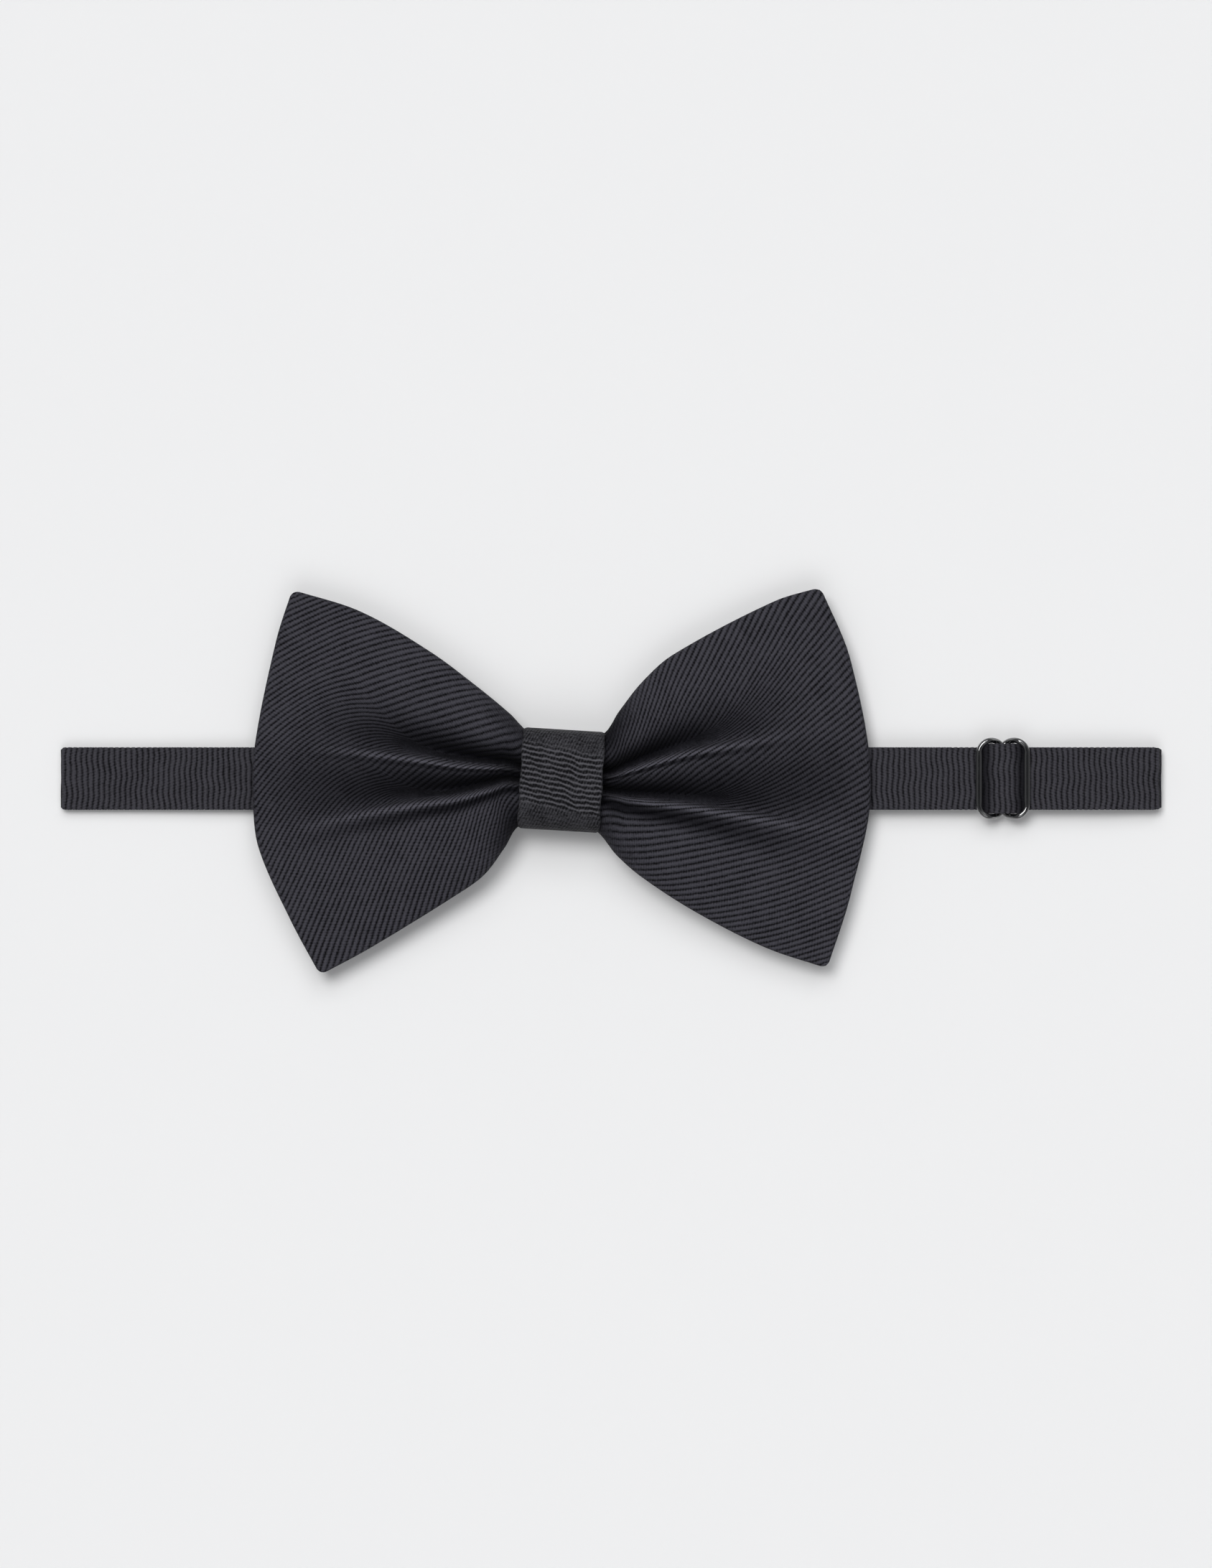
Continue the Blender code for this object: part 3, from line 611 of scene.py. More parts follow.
# %% Painted shade and highlight in the folds
def painted_fold_shading(side, u, v):
    """Painted shade, from 0 on open cloth to 1 deep in a tuck, beside the knot and along the middle ridge.
    Below 0 is painted highlight, where the cloth turns up to catch the light.
    """
    painted_shading = np.zeros_like(u * v)
    painted_wall_highlight = np.zeros_like(u * v)
    wall, flank = wall_width(u), 1.0 + 7.0 * u
    for one in TUCKS[side]:
        below = below_tuck(side, u, v, one["near"], one["far"])
        middle = below + 0.4 * flank
        share = np.exp(-((middle / np.where(middle < 0, flank, 0.4 * flank + 0.4 * wall)) ** 2))
        second = 0.9 * second_dip(u, below, one["dip_wide"])
        fade = tuck_fade(u, one["out"])
        painted_shading = np.maximum(painted_shading, np.maximum(share, second) * fade**0.7)
        # Painted highlight on the wall past the tuck.
        painted_highlight_mask = np.exp(-(((below - 1.4 * wall) / (0.6 * wall)) ** 2))
        painted_wall_highlight = np.maximum(painted_wall_highlight, painted_highlight_mask * fade * smooth(0.12, 0.3, u))
    # Painted shade beside the knot, stronger on one lobe of each wing, and along the middle ridge.
    soft_side = v * (-1 if side == "left" else 1)
    painted_knot_shade = 0.35 * (1 - smooth(0.12, 0.30, u))
    painted_knot_shade += 0.5 * smooth(0.4, 0.85, soft_side) * (1 - smooth(0.16, 0.36, u))
    painted_ridge_shade = 0.36 * np.exp(-(((v - 0.02) / 0.2) ** 2))
    painted_ridge_shade *= smooth(0.35, 0.6, u) * (1 - 0.6 * smooth(0.85, 1.0, u))
    painted_shading = 1 - (1 - painted_shading) * (1 - np.maximum(painted_knot_shade, painted_ridge_shade))
    return painted_shading * (1 - painted_wall_highlight) - 1.3 * painted_wall_highlight


# %% [markdown]
# The two panels are sewn along their edges, so both start from one middle height and swell away
# from it, the front more than the back.


# %% The two faces of the bow
def middle_height(u):
    """The height of the seam between the two panels."""
    return MID_KNOT + (MID_END - MID_KNOT) * smooth(0.1, 1.0, u)


def under_knot(u):
    """1 where the cloth is inside the knot and 0 outside it."""
    return 1 - smooth(0.06, 0.125, u)


def front_height(side, u, v, tight=0.0):
    """The upper face of the front panel. tight is how far the pinched cloth fills the knot."""
    drawn = sum(tuck(side, u, v, **one) for one in TUCKS[side]) * (1 - tight * under_knot(u))
    puff = FRONT_CROWN * swell(u, v) - drawn * np.clip(swell(u, v) * 1.6, 0, 1)
    puff = (puff + np.sqrt(puff**2 + 0.1)) / 2
    return middle_height(u) + SEAM_GAP + PANEL * (1 - 0.7 * rim(side, u, v)) + puff


def back_height(side, u, v, tight=0.0):
    """The lower face of the back panel, which has one shallow pleat by the knot."""
    pleat = 1.2 * np.exp(-((v / 0.2) ** 2)) * (1 - smooth(0.1, 0.6, u)) * (1 - tight * under_knot(u))
    puff = BACK_CROWN * swell(u, v) - pleat
    return middle_height(u) - SEAM_GAP - PANEL * (1 - 0.7 * rim(side, u, v)) - puff


# %% [markdown]
# ### Laying the cloth with its ribs
# The ribs cross the flat cloth at about 45 degrees. To find where each rib goes on the folded cloth, the
# grid is walked both ways over the real surface: out from the knot, and across from the low edge.
# Cloth that the pinch swallows is skipped at the bottoms of the tucks, where nobody can see it, and
# the skip is spread out and fades to nothing at the outer end, where the cloth lies flat again.

# %% Walk the surface
RIB_PITCH = 1.08
BIAS = {"left": math.radians(43), "right": math.radians(37)}  # the ribs' angle to the wing's length
RIB_HEIGHT = 0.10
CORNER_ROUND = 1.5  # radius of a wing's corners


def round_corners(side, u, v):
    """Draws the grid in from the wing's two square corners."""
    reach = half_height(side, np.ones(1))[0]
    x = np.clip(1 - (1 - u) * WING_LONG / CORNER_ROUND, 0, 1)
    y = np.clip(1 - (1 - np.abs(v)) * reach / CORNER_ROUND, 0, 1)
    draw = np.maximum(x, y) / np.maximum(np.hypot(x, y), 1e-9)
    draw = np.where((x > 0) & (y > 0), draw, 1.0)
    new_u = np.where(x > 0, 1 - (1 - x * draw) * CORNER_ROUND / WING_LONG, u)
    new_v = np.where(y > 0, np.sign(v) * (1 - (1 - y * draw) * CORNER_ROUND / reach), v)
    return new_u, new_v


def lay_cloth(side, height, rows, columns):
    """A grid over one wing, even on the cloth's own surface, with its u and v."""
    u = np.linspace(0, 1, rows)[:, None] + np.zeros((1, 900))
    v = np.linspace(-1, 1, 900)[None, :] + np.zeros((rows, 1))
    spots = np.dstack([wing_plan(side, u, v), height(side, u, v)])
    steps = np.linalg.norm(np.diff(spots, axis=1), axis=-1)
    walked = np.hstack([np.zeros((rows, 1)), np.cumsum(steps, axis=1)])
    even = np.array([np.interp(np.linspace(0, w[-1], columns), w, v[0]) for w in walked])
    out = np.linspace(0, 1, rows)[:, None] + np.zeros((1, columns))
    return np.dstack([wing_plan(side, out, even), height(side, out, even)]), out, even


# %% [markdown]
# Where ribs crowd together faster than the eye could part them, their clearness fades to a flat tone.


# %% Count the ribs
def count_ribs(side, points, u, v):
    """The rib number at each point of a grid, and how clearly it can stand up there."""
    by_row, by_column = np.gradient(points, axis=1), np.gradient(points, axis=0)
    long_row = np.linalg.norm(by_row, axis=-1)
    long_column = np.linalg.norm(by_column, axis=-1) + 1e-9
    square = np.linalg.norm(np.cross(by_row, by_column), axis=-1) / (long_row * long_column + 1e-9)
    across = np.cumsum(long_row * square, axis=1)
    out = np.cumsum(long_column, axis=0)
    wide = across[:, -1].max()
    lost = wide - across[:, -1:]
    spread = 0.5 + 15.0 * smooth(0.40, 1.05, u)
    flat = across - wide / 2
    for one in TUCKS[side]:
        line = one["near"] + (one["far"] - one["near"]) * u[:, 0]
        bottom = [np.interp(line[i], v[i], across[i]) for i in range(len(line))]
        flat += lost / 2 * smooth(-0.4, 1.6, (across - np.array(bottom)[:, None]) / spread)
    c, s = math.cos(BIAS[side]), math.sin(BIAS[side]) * (1 if side == "left" else -1)
    ribs = (flat * c + out * s) / RIB_PITCH
    rate = np.hypot(np.gradient(ribs, axis=1) / (long_row + 1e-9), np.gradient(ribs, axis=0) / long_column)
    clear = 1 - smooth(1.9, 3.2, rate * RIB_PITCH)
    along = flat * s - out * c
    return ribs, along, clear, wide


# %% [markdown]
# Ribs are soft where the cloth rolls over by the knot: there the pressing iron has flattened them.
# The rest of the surface gets its ribs as real shape, a tenth of a millimetre high. Inside the knot
# the tucks are packed tight, so the cloth fills the wrap and no light comes through.


# %% Raise the ribs and close the sheet
def soft_by_knot(u, v):
    """From 1 over most of the wing down to 0.25 where it rolls over beside the knot."""
    return 1 - 0.75 * smooth(0.62, 0.95, np.abs(v)) * (1 - smooth(0.14, 0.42, u))


def wing_panel(name, side, height, facing, rows, columns, skip):
    """One wing's panel. facing is 1 for the front and -1 for the back."""
    points, u, v = lay_cloth(side, height, rows, columns)
    ribs, along, clear, wide = count_ribs(side, points, u, v)
    u, v = round_corners(side, u, v)
    points = np.dstack([wing_plan(side, u, v), height(side, u, v, tight=1.0)])
    clear = clear * soft_by_knot(u, v) * (1 - 0.8 * rim(side, u, v))
    normal = np.cross(np.gradient(points, axis=0), np.gradient(points, axis=1))
    normal /= np.linalg.norm(normal, axis=-1, keepdims=True) + 1e-12
    normal *= np.sign(normal[..., 2:]) * facing
    raised = points + normal * (RIB_HEIGHT * clear * (0.5 * np.cos(2 * math.pi * ribs) - 0.5))[..., None]
    inside = points[::skip, ::skip].copy()
    thick = PANEL * (1 - 0.7 * rim(side, u[::skip, ::skip], v[::skip, ::skip])) - 0.03
    inside[..., 2] -= facing * thick
    fabric = np.dstack([ribs, along, clear])
    # Painted shade and painted highlight on the front panels only.
    painted_shading = painted_fold_shading(side, u, v) if facing > 0 else 0 * u
    all_painted_shading = np.concatenate([painted_shading.ravel(), painted_shading[::skip, ::skip].ravel()])
    all_points = np.vstack([raised.reshape(-1, 3), inside.reshape(-1, 3)])
    all_fabric = np.vstack([fabric.reshape(-1, 3), fabric[::skip, ::skip].reshape(-1, 3)])
    faces = sheet_faces(rows, columns, skip)
    print(f"{name}: the cloth is {wide:.1f} mm wide at the outer end")
    return make_piece(name, all_points, faces, bow_cloth, all_fabric, all_painted_shading)


# %% [markdown]
# The four panels are sheets of cloth that are gathered at the knot. Their cut is a butterfly, so its
# area is smaller than that of the rectangle it was cut from.

# %% Front and back panels
BOW_BODY = "bow_and_front_band"

for side in ("left", "right"):
    front = wing_panel("bow_front_" + side, side, front_height, 1, 221, 281, 4)
    back = wing_panel("bow_back_" + side, side, back_height, -1, 181, 221, 4)
    for piece, node in ((front, "bow_front"), (back, "bow_back")):
        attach(piece, BOW_BODY)
        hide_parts(node)

# %% [markdown]
# ### The interlining inside
# Each panel is backed with a plain woven interlining, a little smaller than the cloth, which keeps
# the lobes puffed out. It follows the inside of the cloth at a small distance.

# %% Interlining behind each panel
LINING = 0.25
LINING_GAP = 0.2


def behind(level, facing, reach):
    """The lowest level near each point, or the highest for the back panel."""
    found = level * facing
    for axis in (0, 1):
        edged = np.pad(found, [(reach, reach) if k == axis else (0, 0) for k in (0, 1)], mode="edge")
        size = found.shape[axis]
        found = np.min([np.take(edged, range(k, k + size), axis) for k in range(2 * reach + 1)], axis=0)
    return found * facing


def lining_panel(name, side, height, facing):
    rows, columns = 85, 121
    u = np.linspace(0, 0.96, rows)[:, None] + np.zeros((1, columns))
    v = np.linspace(-0.95, 0.95, columns)[None, :] + np.zeros((rows, 1))
    plan, level = wing_plan(side, u, v), height(side, u, v)
    near = behind(level, facing, 2) - facing * (PANEL + LINING_GAP)
    middle = middle_height(u)
    near = middle + facing * np.maximum((near - middle) * facing, LINING + 0.04)
    far = near - facing * LINING
    points = [np.dstack([plan, z]).reshape(-1, 3) for z in (near, far)]
    return make_piece(name, np.vstack(points), sheet_faces(rows, columns, 1), interlining)


for side in ("left", "right"):
    for label, height, facing in (("front", front_height, 1), ("back", back_height, -1)):
        piece = lining_panel(f"bow_{label}_interlining_{side}", side, height, facing)
        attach(piece, BOW_BODY)
        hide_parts(f"bow_{label}_interlining")

# %% [markdown]
# ## The knot
# The knot is a strip of the same cloth, wrapped tight round the pinch and sewn at the back. It was folded
# along its edges first, so its sides are rounded. Its ribs run across it, a little askew, and where the strip
# turns over the top and the bottom they are pressed nearly flat. Its finish is the bow's cloth with lighter
# rib crests, which are painted highlight, and a darker flat tone over the top and bottom turns, which is
# painted shade where the strip turns away from the light.

# %% The shape of the knot, in millimetres
KNOT_WIDTH, KNOT_HEIGHT = 15.9, 19.6
KNOT_BOTTOM, KNOT_TOP = corners("knot_wrap")[0][2], corners("knot_wrap")[1][2]
KNOT_MIDDLE = 5.6
KNOT_TURN = math.radians(-3.5)
KNOT_WRAP = 0.5
KNOT_PITCH = 1.0
KNOT_ROUND = 0.5  # radius of the wrap's folded sides
KNOT_RIB = 0.13
KNOT_SQUARE = 0.62, 0.34  # how square the outline is, over and under its middle: less is squarer
print(f"the knot stands from {KNOT_BOTTOM:.2f} to {KNOT_TOP:.2f} mm above the table")


def knot_outline(inward, count):
    """The wrap's outline in (y, z), evenly paced, starting at the middle of the back."""
    turn = np.linspace(-math.pi / 2, 1.5 * math.pi, 4000)
    c, s = np.cos(turn), np.sin(turn)
    power = np.where(s > 0, *KNOT_SQUARE)
    reach = np.where(s > 0, KNOT_TOP - KNOT_MIDDLE, KNOT_MIDDLE - KNOT_BOTTOM) - inward
    y = (KNOT_HEIGHT / 2 - inward) * np.sign(c) * np.abs(c) ** power
    z = KNOT_MIDDLE + reach * np.sign(s) * np.abs(s) ** power
    walked = np.concatenate([[0], np.cumsum(np.hypot(np.diff(y), np.diff(z)))])
    even = np.linspace(0, walked[-1], count, endpoint=False)
    return np.stack([np.interp(even, walked, y), np.interp(even, walked, z)], -1), even


def ring_normals(ring):
    """Outward directions of a closed outline that runs from the back, up its +Y side."""
    run = np.roll(ring, -1, axis=0) - np.roll(ring, 1, axis=0)
    run /= np.linalg.norm(run, axis=-1, keepdims=True)
    return np.stack([run[:, 1], -run[:, 0]], -1)


# %% [markdown]
# A rib on the wrap is a line of equal distance round the knot, pushed down towards the right, with
# one bend about two thirds of the way across, where the strip was pulled tight. The wrap is a closed
# band: an outer grid round the knot, an inner grid inside it, and a strip of faces along each side.


# %% Ribs round the knot
def knot_ribs(walked, y, x):
    """The rib number at each point of the wrap, and how clearly it stands up."""
    bend = smooth(0.8 + 0.14 * y, 3.6 + 0.14 * y, x)
    askew = 0.15 * x + 0.5 * bend - 0.11 * np.clip(x - 3.2, 0, None)
    askew = askew + 0.07 * np.sin(1.7 * x + 0.9 * y) + 0.06 * np.sin(3.7 * x + 2.3 * y + 0.8)
    return (walked - askew) / KNOT_PITCH


# %% The wrap as a closed band
def knot_band(name, inward, thick, width, material, count, across, ribbed):
    ring, walked = knot_outline(inward, count)
    normal = ring_normals(ring)
    x = np.linspace(-1, 1, across)
    x = np.sign(x) * (1 - (1 - np.abs(x)) ** 1.35) * width / 2
    xs, y0, z0 = x[None, :] + 0 * ring[:, :1], ring[:, :1] + 0 * x[None, :], ring[:, 1:] + 0 * x[None, :]
    ribs = knot_ribs(walked[:, None] + 0 * xs, y0, xs) * (1 if ribbed else 0)
    # The ribs fade to the darker flat tone over the top and bottom turns, where it is painted shade, and at
    # the folded sides.
    clear = np.where(z0 > KNOT_MIDDLE, 1 - 0.88 * smooth(4.9, 6.4, np.abs(y0 - 0.2 + 0.15 * xs)), 0.35)
    fold = np.clip((np.abs(xs) - (width / 2 - KNOT_ROUND)) / KNOT_ROUND, 0, 1)
    drop = KNOT_ROUND * 0.8 * (1 - np.sqrt(1 - fold**2))
    clear = clear * (1 - 0.7 * fold)
    lift = (KNOT_RIB * clear * (0.5 * np.cos(2 * math.pi * ribs) - 0.5) if ribbed else 0) - drop
    wavy = 0.10 * np.sin(walked * 0.9)[:, None] * np.sign(xs) * smooth(0.6, 1.0, np.abs(xs) / (width / 2))
    outer = np.stack([xs + wavy, y0 + normal[:, :1] * lift, z0 + normal[:, 1:] * lift], -1)
    inner_x = np.clip(xs + wavy, -width / 2 + 0.1, width / 2 - 0.1)
    inner = np.stack([inner_x, y0 - normal[:, :1] * thick, z0 - normal[:, 1:] * thick], -1)
    points = np.concatenate([outer.reshape(-1, 3), inner.reshape(-1, 3)])
    points[:, 0] *= 1 - 0.05 * smooth(KNOT_HEIGHT / 2 - 0.7, KNOT_HEIGHT / 2, np.abs(points[:, 1])) ** 2
    c, s = math.cos(KNOT_TURN), math.sin(KNOT_TURN)
    across_x, along_y, up_z = points.T
    points = np.stack([KNOT_X + across_x * c - along_y * s, KNOT_Y + across_x * s + along_y * c, up_z], -1)
    grid = np.arange(count * across).reshape(count, across)
    after = np.roll(grid, -1, axis=0)
    skip = count * across
    outside = np.stack([grid[:, :-1], after[:, :-1], after[:, 1:], grid[:, 1:]], -1)
    faces = outside.reshape(-1, 4).tolist()
    faces += (outside[..., [0, 3, 2, 1]] + skip).reshape(-1, 4).tolist()
    for k in (0, -1):
        edge = np.stack([grid[:, k], after[:, k], after[:, k] + skip, grid[:, k] + skip], -1)
        faces += edge.reshape(-1, 4).tolist()
    fabric = np.stack([ribs, xs, clear], -1).reshape(-1, 3)
    return make_piece(name, points, faces, material, np.vstack([fabric, fabric]))


wrap = knot_band("knot_wrap_cloth", 0.0, KNOT_WRAP, KNOT_WIDTH, knot_cloth_painted_light, 440, 65, True)
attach(wrap, BOW_BODY)
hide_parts("knot_wrap")

lining = knot_band("knot_lining_cloth", KNOT_WRAP + 0.25, 0.35, KNOT_WIDTH - 1.2, interlining, 120, 15, False)
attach(lining, BOW_BODY)
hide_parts("knot_interlining")

# %% [markdown]
# ## The neck band
# The band is one ribbon of grosgrain, a cloth with a stout rib across it and a firm woven edge. It is folded
# at both ends, carries the slider on its right, and doubles back to the hook. It is built as lengths that
# meet where the bow hides them. The length through the knot goes with the bow, the loop round the eye with
# the left back run and the bulge with the slider; the other lengths stay where they are built.
# A length is a thin section carried along its path, thicker at each rib and notched at its edges.

# %% Grosgrain and its path
BAND_PITCH = 1.06
BAND_RIB = 0.09
BAND_STEP = 0.14
ACROSS = 15


def even_path(path, step):
    """A path of (x, z) points again, with points a step apart, and the distance to each."""
    path = np.array(path, float)
    walked = np.concatenate([[0], np.cumsum(np.hypot(*np.diff(path, axis=0).T))])
    even = np.linspace(0, walked[-1], max(2, int(round(walked[-1] / step)) + 1))
    return np.stack([np.interp(even, walked, path[:, 0]), np.interp(even, walked, path[:, 1])], -1), even


# %% Faces of a tube
def tube_faces(count, sides, closed=False):
    """Faces of a tube of sections, with a lid at each end unless it closes on itself."""
    grid = np.arange(count * sides).reshape(count, sides)
    after = np.roll(grid, -1, axis=0)
    last = count if closed else count - 1
    ring = [grid[:last], np.roll(grid, -1, axis=1)[:last], np.roll(after, -1, axis=1)[:last], after[:last]]
    faces = np.stack(ring, -1).reshape(-1, 4).tolist()
    return faces if closed else faces + [grid[0].tolist(), grid[-1].tolist()]


# %% The ribbon itself
def grosgrain(name, path, from_rib, width=BAND_WIDTH, corner=None, painted_end_shade=None):
    """A closed strip along a path of (x, z) points. from_rib is the distance at which its ribs start.
    corner narrows it towards a fold. The last argument paints shade on it towards both ends, up to that
    distance from its middle."""
    spots, walked = even_path(path, BAND_STEP)
    run = np.gradient(spots, axis=0)
    run /= np.linalg.norm(run, axis=-1, keepdims=True)
    up = np.stack([-run[:, 1], run[:, 0]], -1)
    share = np.linspace(-1, 1, ACROSS)
    section = [(s * (1 - 0.05 / width), 1.0) for s in share] + [(1.0, 0.0)]
    section += [(s * (1 - 0.05 / width), -1.0) for s in share[::-1]] + [(-1.0, 0.0)]
    section = np.array(section)
    y = section[None, :, 0] * width / 2 + 0 * walked[:, None]
    s = walked[:, None] + from_rib
    ribs = s / BAND_PITCH + 0.14 * np.sin(0.55 * y + 0.23 * s) + 0.09 * np.sin(1.3 * y - 0.17 * s)
    wave = np.cos(2 * math.pi * ribs)
    lift = section[None, :, 1] * (RIBBON / 2 + BAND_RIB / 2 * (wave - 1))
    pressed = 0.05 * np.exp(-(((y + 1.4) / 0.45) ** 2))
    lift = lift - pressed * (section[None, :, 1] > 0)
    edge = np.abs(section[None, :, 0]) > 0.98
    y = y + np.where(edge, np.sign(y) * 0.05 * (wave - 1), 0)
    if corner is not None:
        y = y * (1 - corner(spots[:, 0])[:, None] / (width / 2))
    points = np.stack([spots[:, :1] + up[:, :1] * lift, BAND_Y + y, spots[:, 1:] + up[:, 1:] * lift], -1)
    fabric = np.stack([ribs, y, 1 - 0.3 * edge + 0 * y], -1).reshape(-1, 3)
    painted_shading = 0 * ribs
    # Painted shade, darker towards both ends of the length.
    if painted_end_shade is not None:
        painted_shading = painted_shading + 0.85 * smooth(0.3, 1.0, np.abs(walked - walked[-1] / 2) / painted_end_shade)[:, None]
    faces = tube_faces(len(spots), len(section))
    return make_piece(name, points.reshape(-1, 3), faces, band_cloth, fabric, painted_shading.ravel()), walked[-1]


# %% A half turn
def half_turn(centre_x, centre_z, radius, opening):
    """Points of a half turn from below to above, with its mouth facing +X where opening is 1."""
    turn = np.linspace(0, math.pi, 25)
    return [(centre_x - opening * radius * math.sin(t), centre_z - radius * math.cos(t)) for t in turn]


# %% [markdown]
# The front run rises a little from the left fold to the knot, again to the slider, and comes down
# into the right fold. One formula gives its height everywhere.

# %% The height of the front run
KNOT_LEVEL = 2.5
LEFT_LEVEL = left_fold[1][2] - RIBBON / 2
RIGHT_LEVEL = right_fold[1][2] - RIBBON / 2
SLIDER_LEVEL = front_run[1][2] - RIBBON / 2
LOW = RIBBON / 2
LEFT_CENTRE = left_fold[0][0] + left_fold[1][2] / 2
RIGHT_CENTRE = right_fold[1][0] - right_fold[1][2] / 2
BEHIND_LEFT_WING, BEHIND_RIGHT_WING = -63.0, 44.0  # where the lengths meet, hidden by the bow


def front_level(x):
    level = KNOT_LEVEL + (SLIDER_LEVEL - KNOT_LEVEL) * smooth(2.0, 50.0, x)
    level = level - (SLIDER_LEVEL - RIGHT_LEVEL) * smooth(94.5, 103.5, x)
    return level - (KNOT_LEVEL - LEFT_LEVEL) * (1 - smooth(-100.0, -60.0, x))


def run_between(start, end):
    """Points of the front run between two places."""
    xs = np.linspace(start, end, max(2, int(abs(end - start)) + 1))
    return list(zip(xs, front_level(xs)))


print(f"the front run is {LEFT_LEVEL:.1f}, {KNOT_LEVEL:.1f} and {SLIDER_LEVEL:.1f} mm up: fold, knot, slider")


# %% [markdown]
# ### The two folded ends
# Each fold is pressed but not creased, so it is a small half turn. Its corners are a little round.
# A folded end belongs to two solids, the front run and the back run.

# %% Left end
def round_end(fold_x, centre_x, radius):
    """How much narrower the ribbon is towards its fold, for round corners."""

    def narrower(x):
        share = np.clip((x - centre_x) / (fold_x - centre_x), 0, 1)
        return radius * (1 - np.sqrt(1 - share**2 * 0.98))

    return narrower


def belongs(nodes):
    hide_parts(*nodes)


left_path = run_between(BEHIND_LEFT_WING, LEFT_CENTRE)
left_path += half_turn(LEFT_CENTRE, left_fold[1][2] / 2, left_fold[1][2] / 2 - LOW, 1)[::-1]
left_path += [(BEHIND_LEFT_WING, LOW)]
left_end, length = grosgrain(
    "band_left_end", left_path, 0.0, corner=round_end(left_fold[0][0], LEFT_CENTRE, 1.1)
)
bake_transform(left_end)
belongs(["band_left_fold"])

# %% Middle of the front run, through the knot
middle_path = run_between(BEHIND_LEFT_WING + 0.1, BEHIND_RIGHT_WING - 0.1)
middle, length = grosgrain("band_through_knot", middle_path, 0.0)
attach(middle, BOW_BODY)
belongs(["band_front"])

# %% Right end
HOOK_JOIN = 66.0  # where the doubled band changes over from the fold's length to the hook's
right_path = run_between(BEHIND_RIGHT_WING, RIGHT_CENTRE)
right_path += half_turn(RIGHT_CENTRE, right_fold[1][2] / 2, right_fold[1][2] / 2 - LOW, -1)[::-1]
right_path += [(HOOK_JOIN, LOW)]
right_end, length = grosgrain(
    "band_right_end", right_path, 0.37, corner=round_end(right_fold[1][0], RIGHT_CENTRE, 0.9)
)
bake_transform(right_end)
belongs(["band_right_fold", "band_right_back"])

# %% [markdown]
# ### The inner layer and the slider's tail
# After the hook the ribbon comes back as an inner layer, turns inside the right fold and ends round the
# slider's centre bar, where it is sewn to itself.

# %% Inner layer in the right fold
TAIL_JOIN = 102.5
INNER_TOP = inner_fold[1][2] - RIBBON / 2
INNER_LOW = inner_fold[0][2] + RIBBON / 2
inner_path = [(TAIL_JOIN, INNER_TOP)]
inner_path += half_turn(RIGHT_CENTRE, (INNER_TOP + INNER_LOW) / 2, (INNER_TOP - INNER_LOW) / 2, -1)[::-1]
inner_path += [(HOOK_JOIN, INNER_LOW)]
inner, length = grosgrain("band_right_inner", inner_path, 0.2, width=BAND_WIDTH - 0.3)
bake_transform(inner)
belongs(["band_right_fold_inner", "band_right_back_inner"])

# %% Tail round the slider's centre bar
slider_low, slider_high = corners("slider")
tail_high = corners("slider_tail_loop")[1]
SLIDER_X = (slider_low[0] + slider_high[0]) / 2
BAR_Z = 2.3
TAIL_TURN = 0.69
tail_path = [(TAIL_JOIN - 0.1, INNER_TOP), (TAIL_JOIN - 3.0, INNER_TOP), (tail_high[0] + 3.0, 1.78)]
tail_path += [(tail_high[0], 1.75), (SLIDER_X + 4.0, 1.68), (SLIDER_X + 1.5, 1.61)]
tail_path += half_turn(SLIDER_X, BAR_Z, TAIL_TURN, 1)
tail_path += [(SLIDER_X + 1.2, 2.96), (SLIDER_X + 3.6, 2.36), (SLIDER_X + 4.8, 2.28), (SLIDER_X + 7.4, 2.28)]
tail, length = grosgrain("slider_tail", tail_path, 0.0, width=BAND_WIDTH - 0.8)
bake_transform(tail)
belongs(["slider_tail_loop"])

# %% [markdown]
# ### The two ends behind the bow
# The left back run ends in a loop round the eye's bar. On the right the doubled band turns round the hook's
# bar.

# %% Loop round the eye
eye_low, eye_high = corners("eye")
CLASP_Z = (eye_low[2] + eye_high[2]) / 2
CLASP_WIRE = 1.0
WIRE_SINK = 0.04  # a round wire's many-sided solid is this much smaller than the wire
EYE_BAR_X = eye_low[0] + CLASP_WIRE / 2 - WIRE_SINK
LOOP = CLASP_Z - RIBBON / 2
eye_path = [(BEHIND_LEFT_WING + 0.1, LOW), (EYE_BAR_X - 1.5, LOW)]
eye_path += half_turn(EYE_BAR_X, CLASP_Z, LOOP, -1)
eye_path += [(EYE_BAR_X - out, z) for out, z in ((1.2, 1.72), (3.2, 1.05), (4.4, 0.92), (8.0, 0.92))]
eye_end, length = grosgrain("band_eye_end", eye_path, 0.5)
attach(eye_end, "left_back")
belongs(["band_left_back", "eye_strap_loop"])

# %% Turn round the hook
hook_high = corners("hook")[1]
HOOK_BAR_X = hook_high[0] - CLASP_WIRE / 2 + WIRE_SINK
hook_path = [(HOOK_JOIN + 0.1, LOW), (HOOK_BAR_X + 1.5, LOW)]
hook_path += half_turn(HOOK_BAR_X, CLASP_Z, LOOP, 1)
hook_path += [(HOOK_BAR_X + out, z) for out, z in ((1.2, 1.72), (3.2, 1.05), (5.5, 0.92))]
hook_path += [(HOOK_JOIN + 0.1, INNER_LOW)]
hook_end, length = grosgrain("band_hook_end", hook_path, 0.5)
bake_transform(hook_end)
belongs(["hook_strap_loop"])

# %% [markdown]
# ## Wire pieces
# The slider is one wire bent into a figure of eight, with a bar across its waist. A wire is a
# round section carried along a path. Where it lies over the ribbon it was flattened a little.


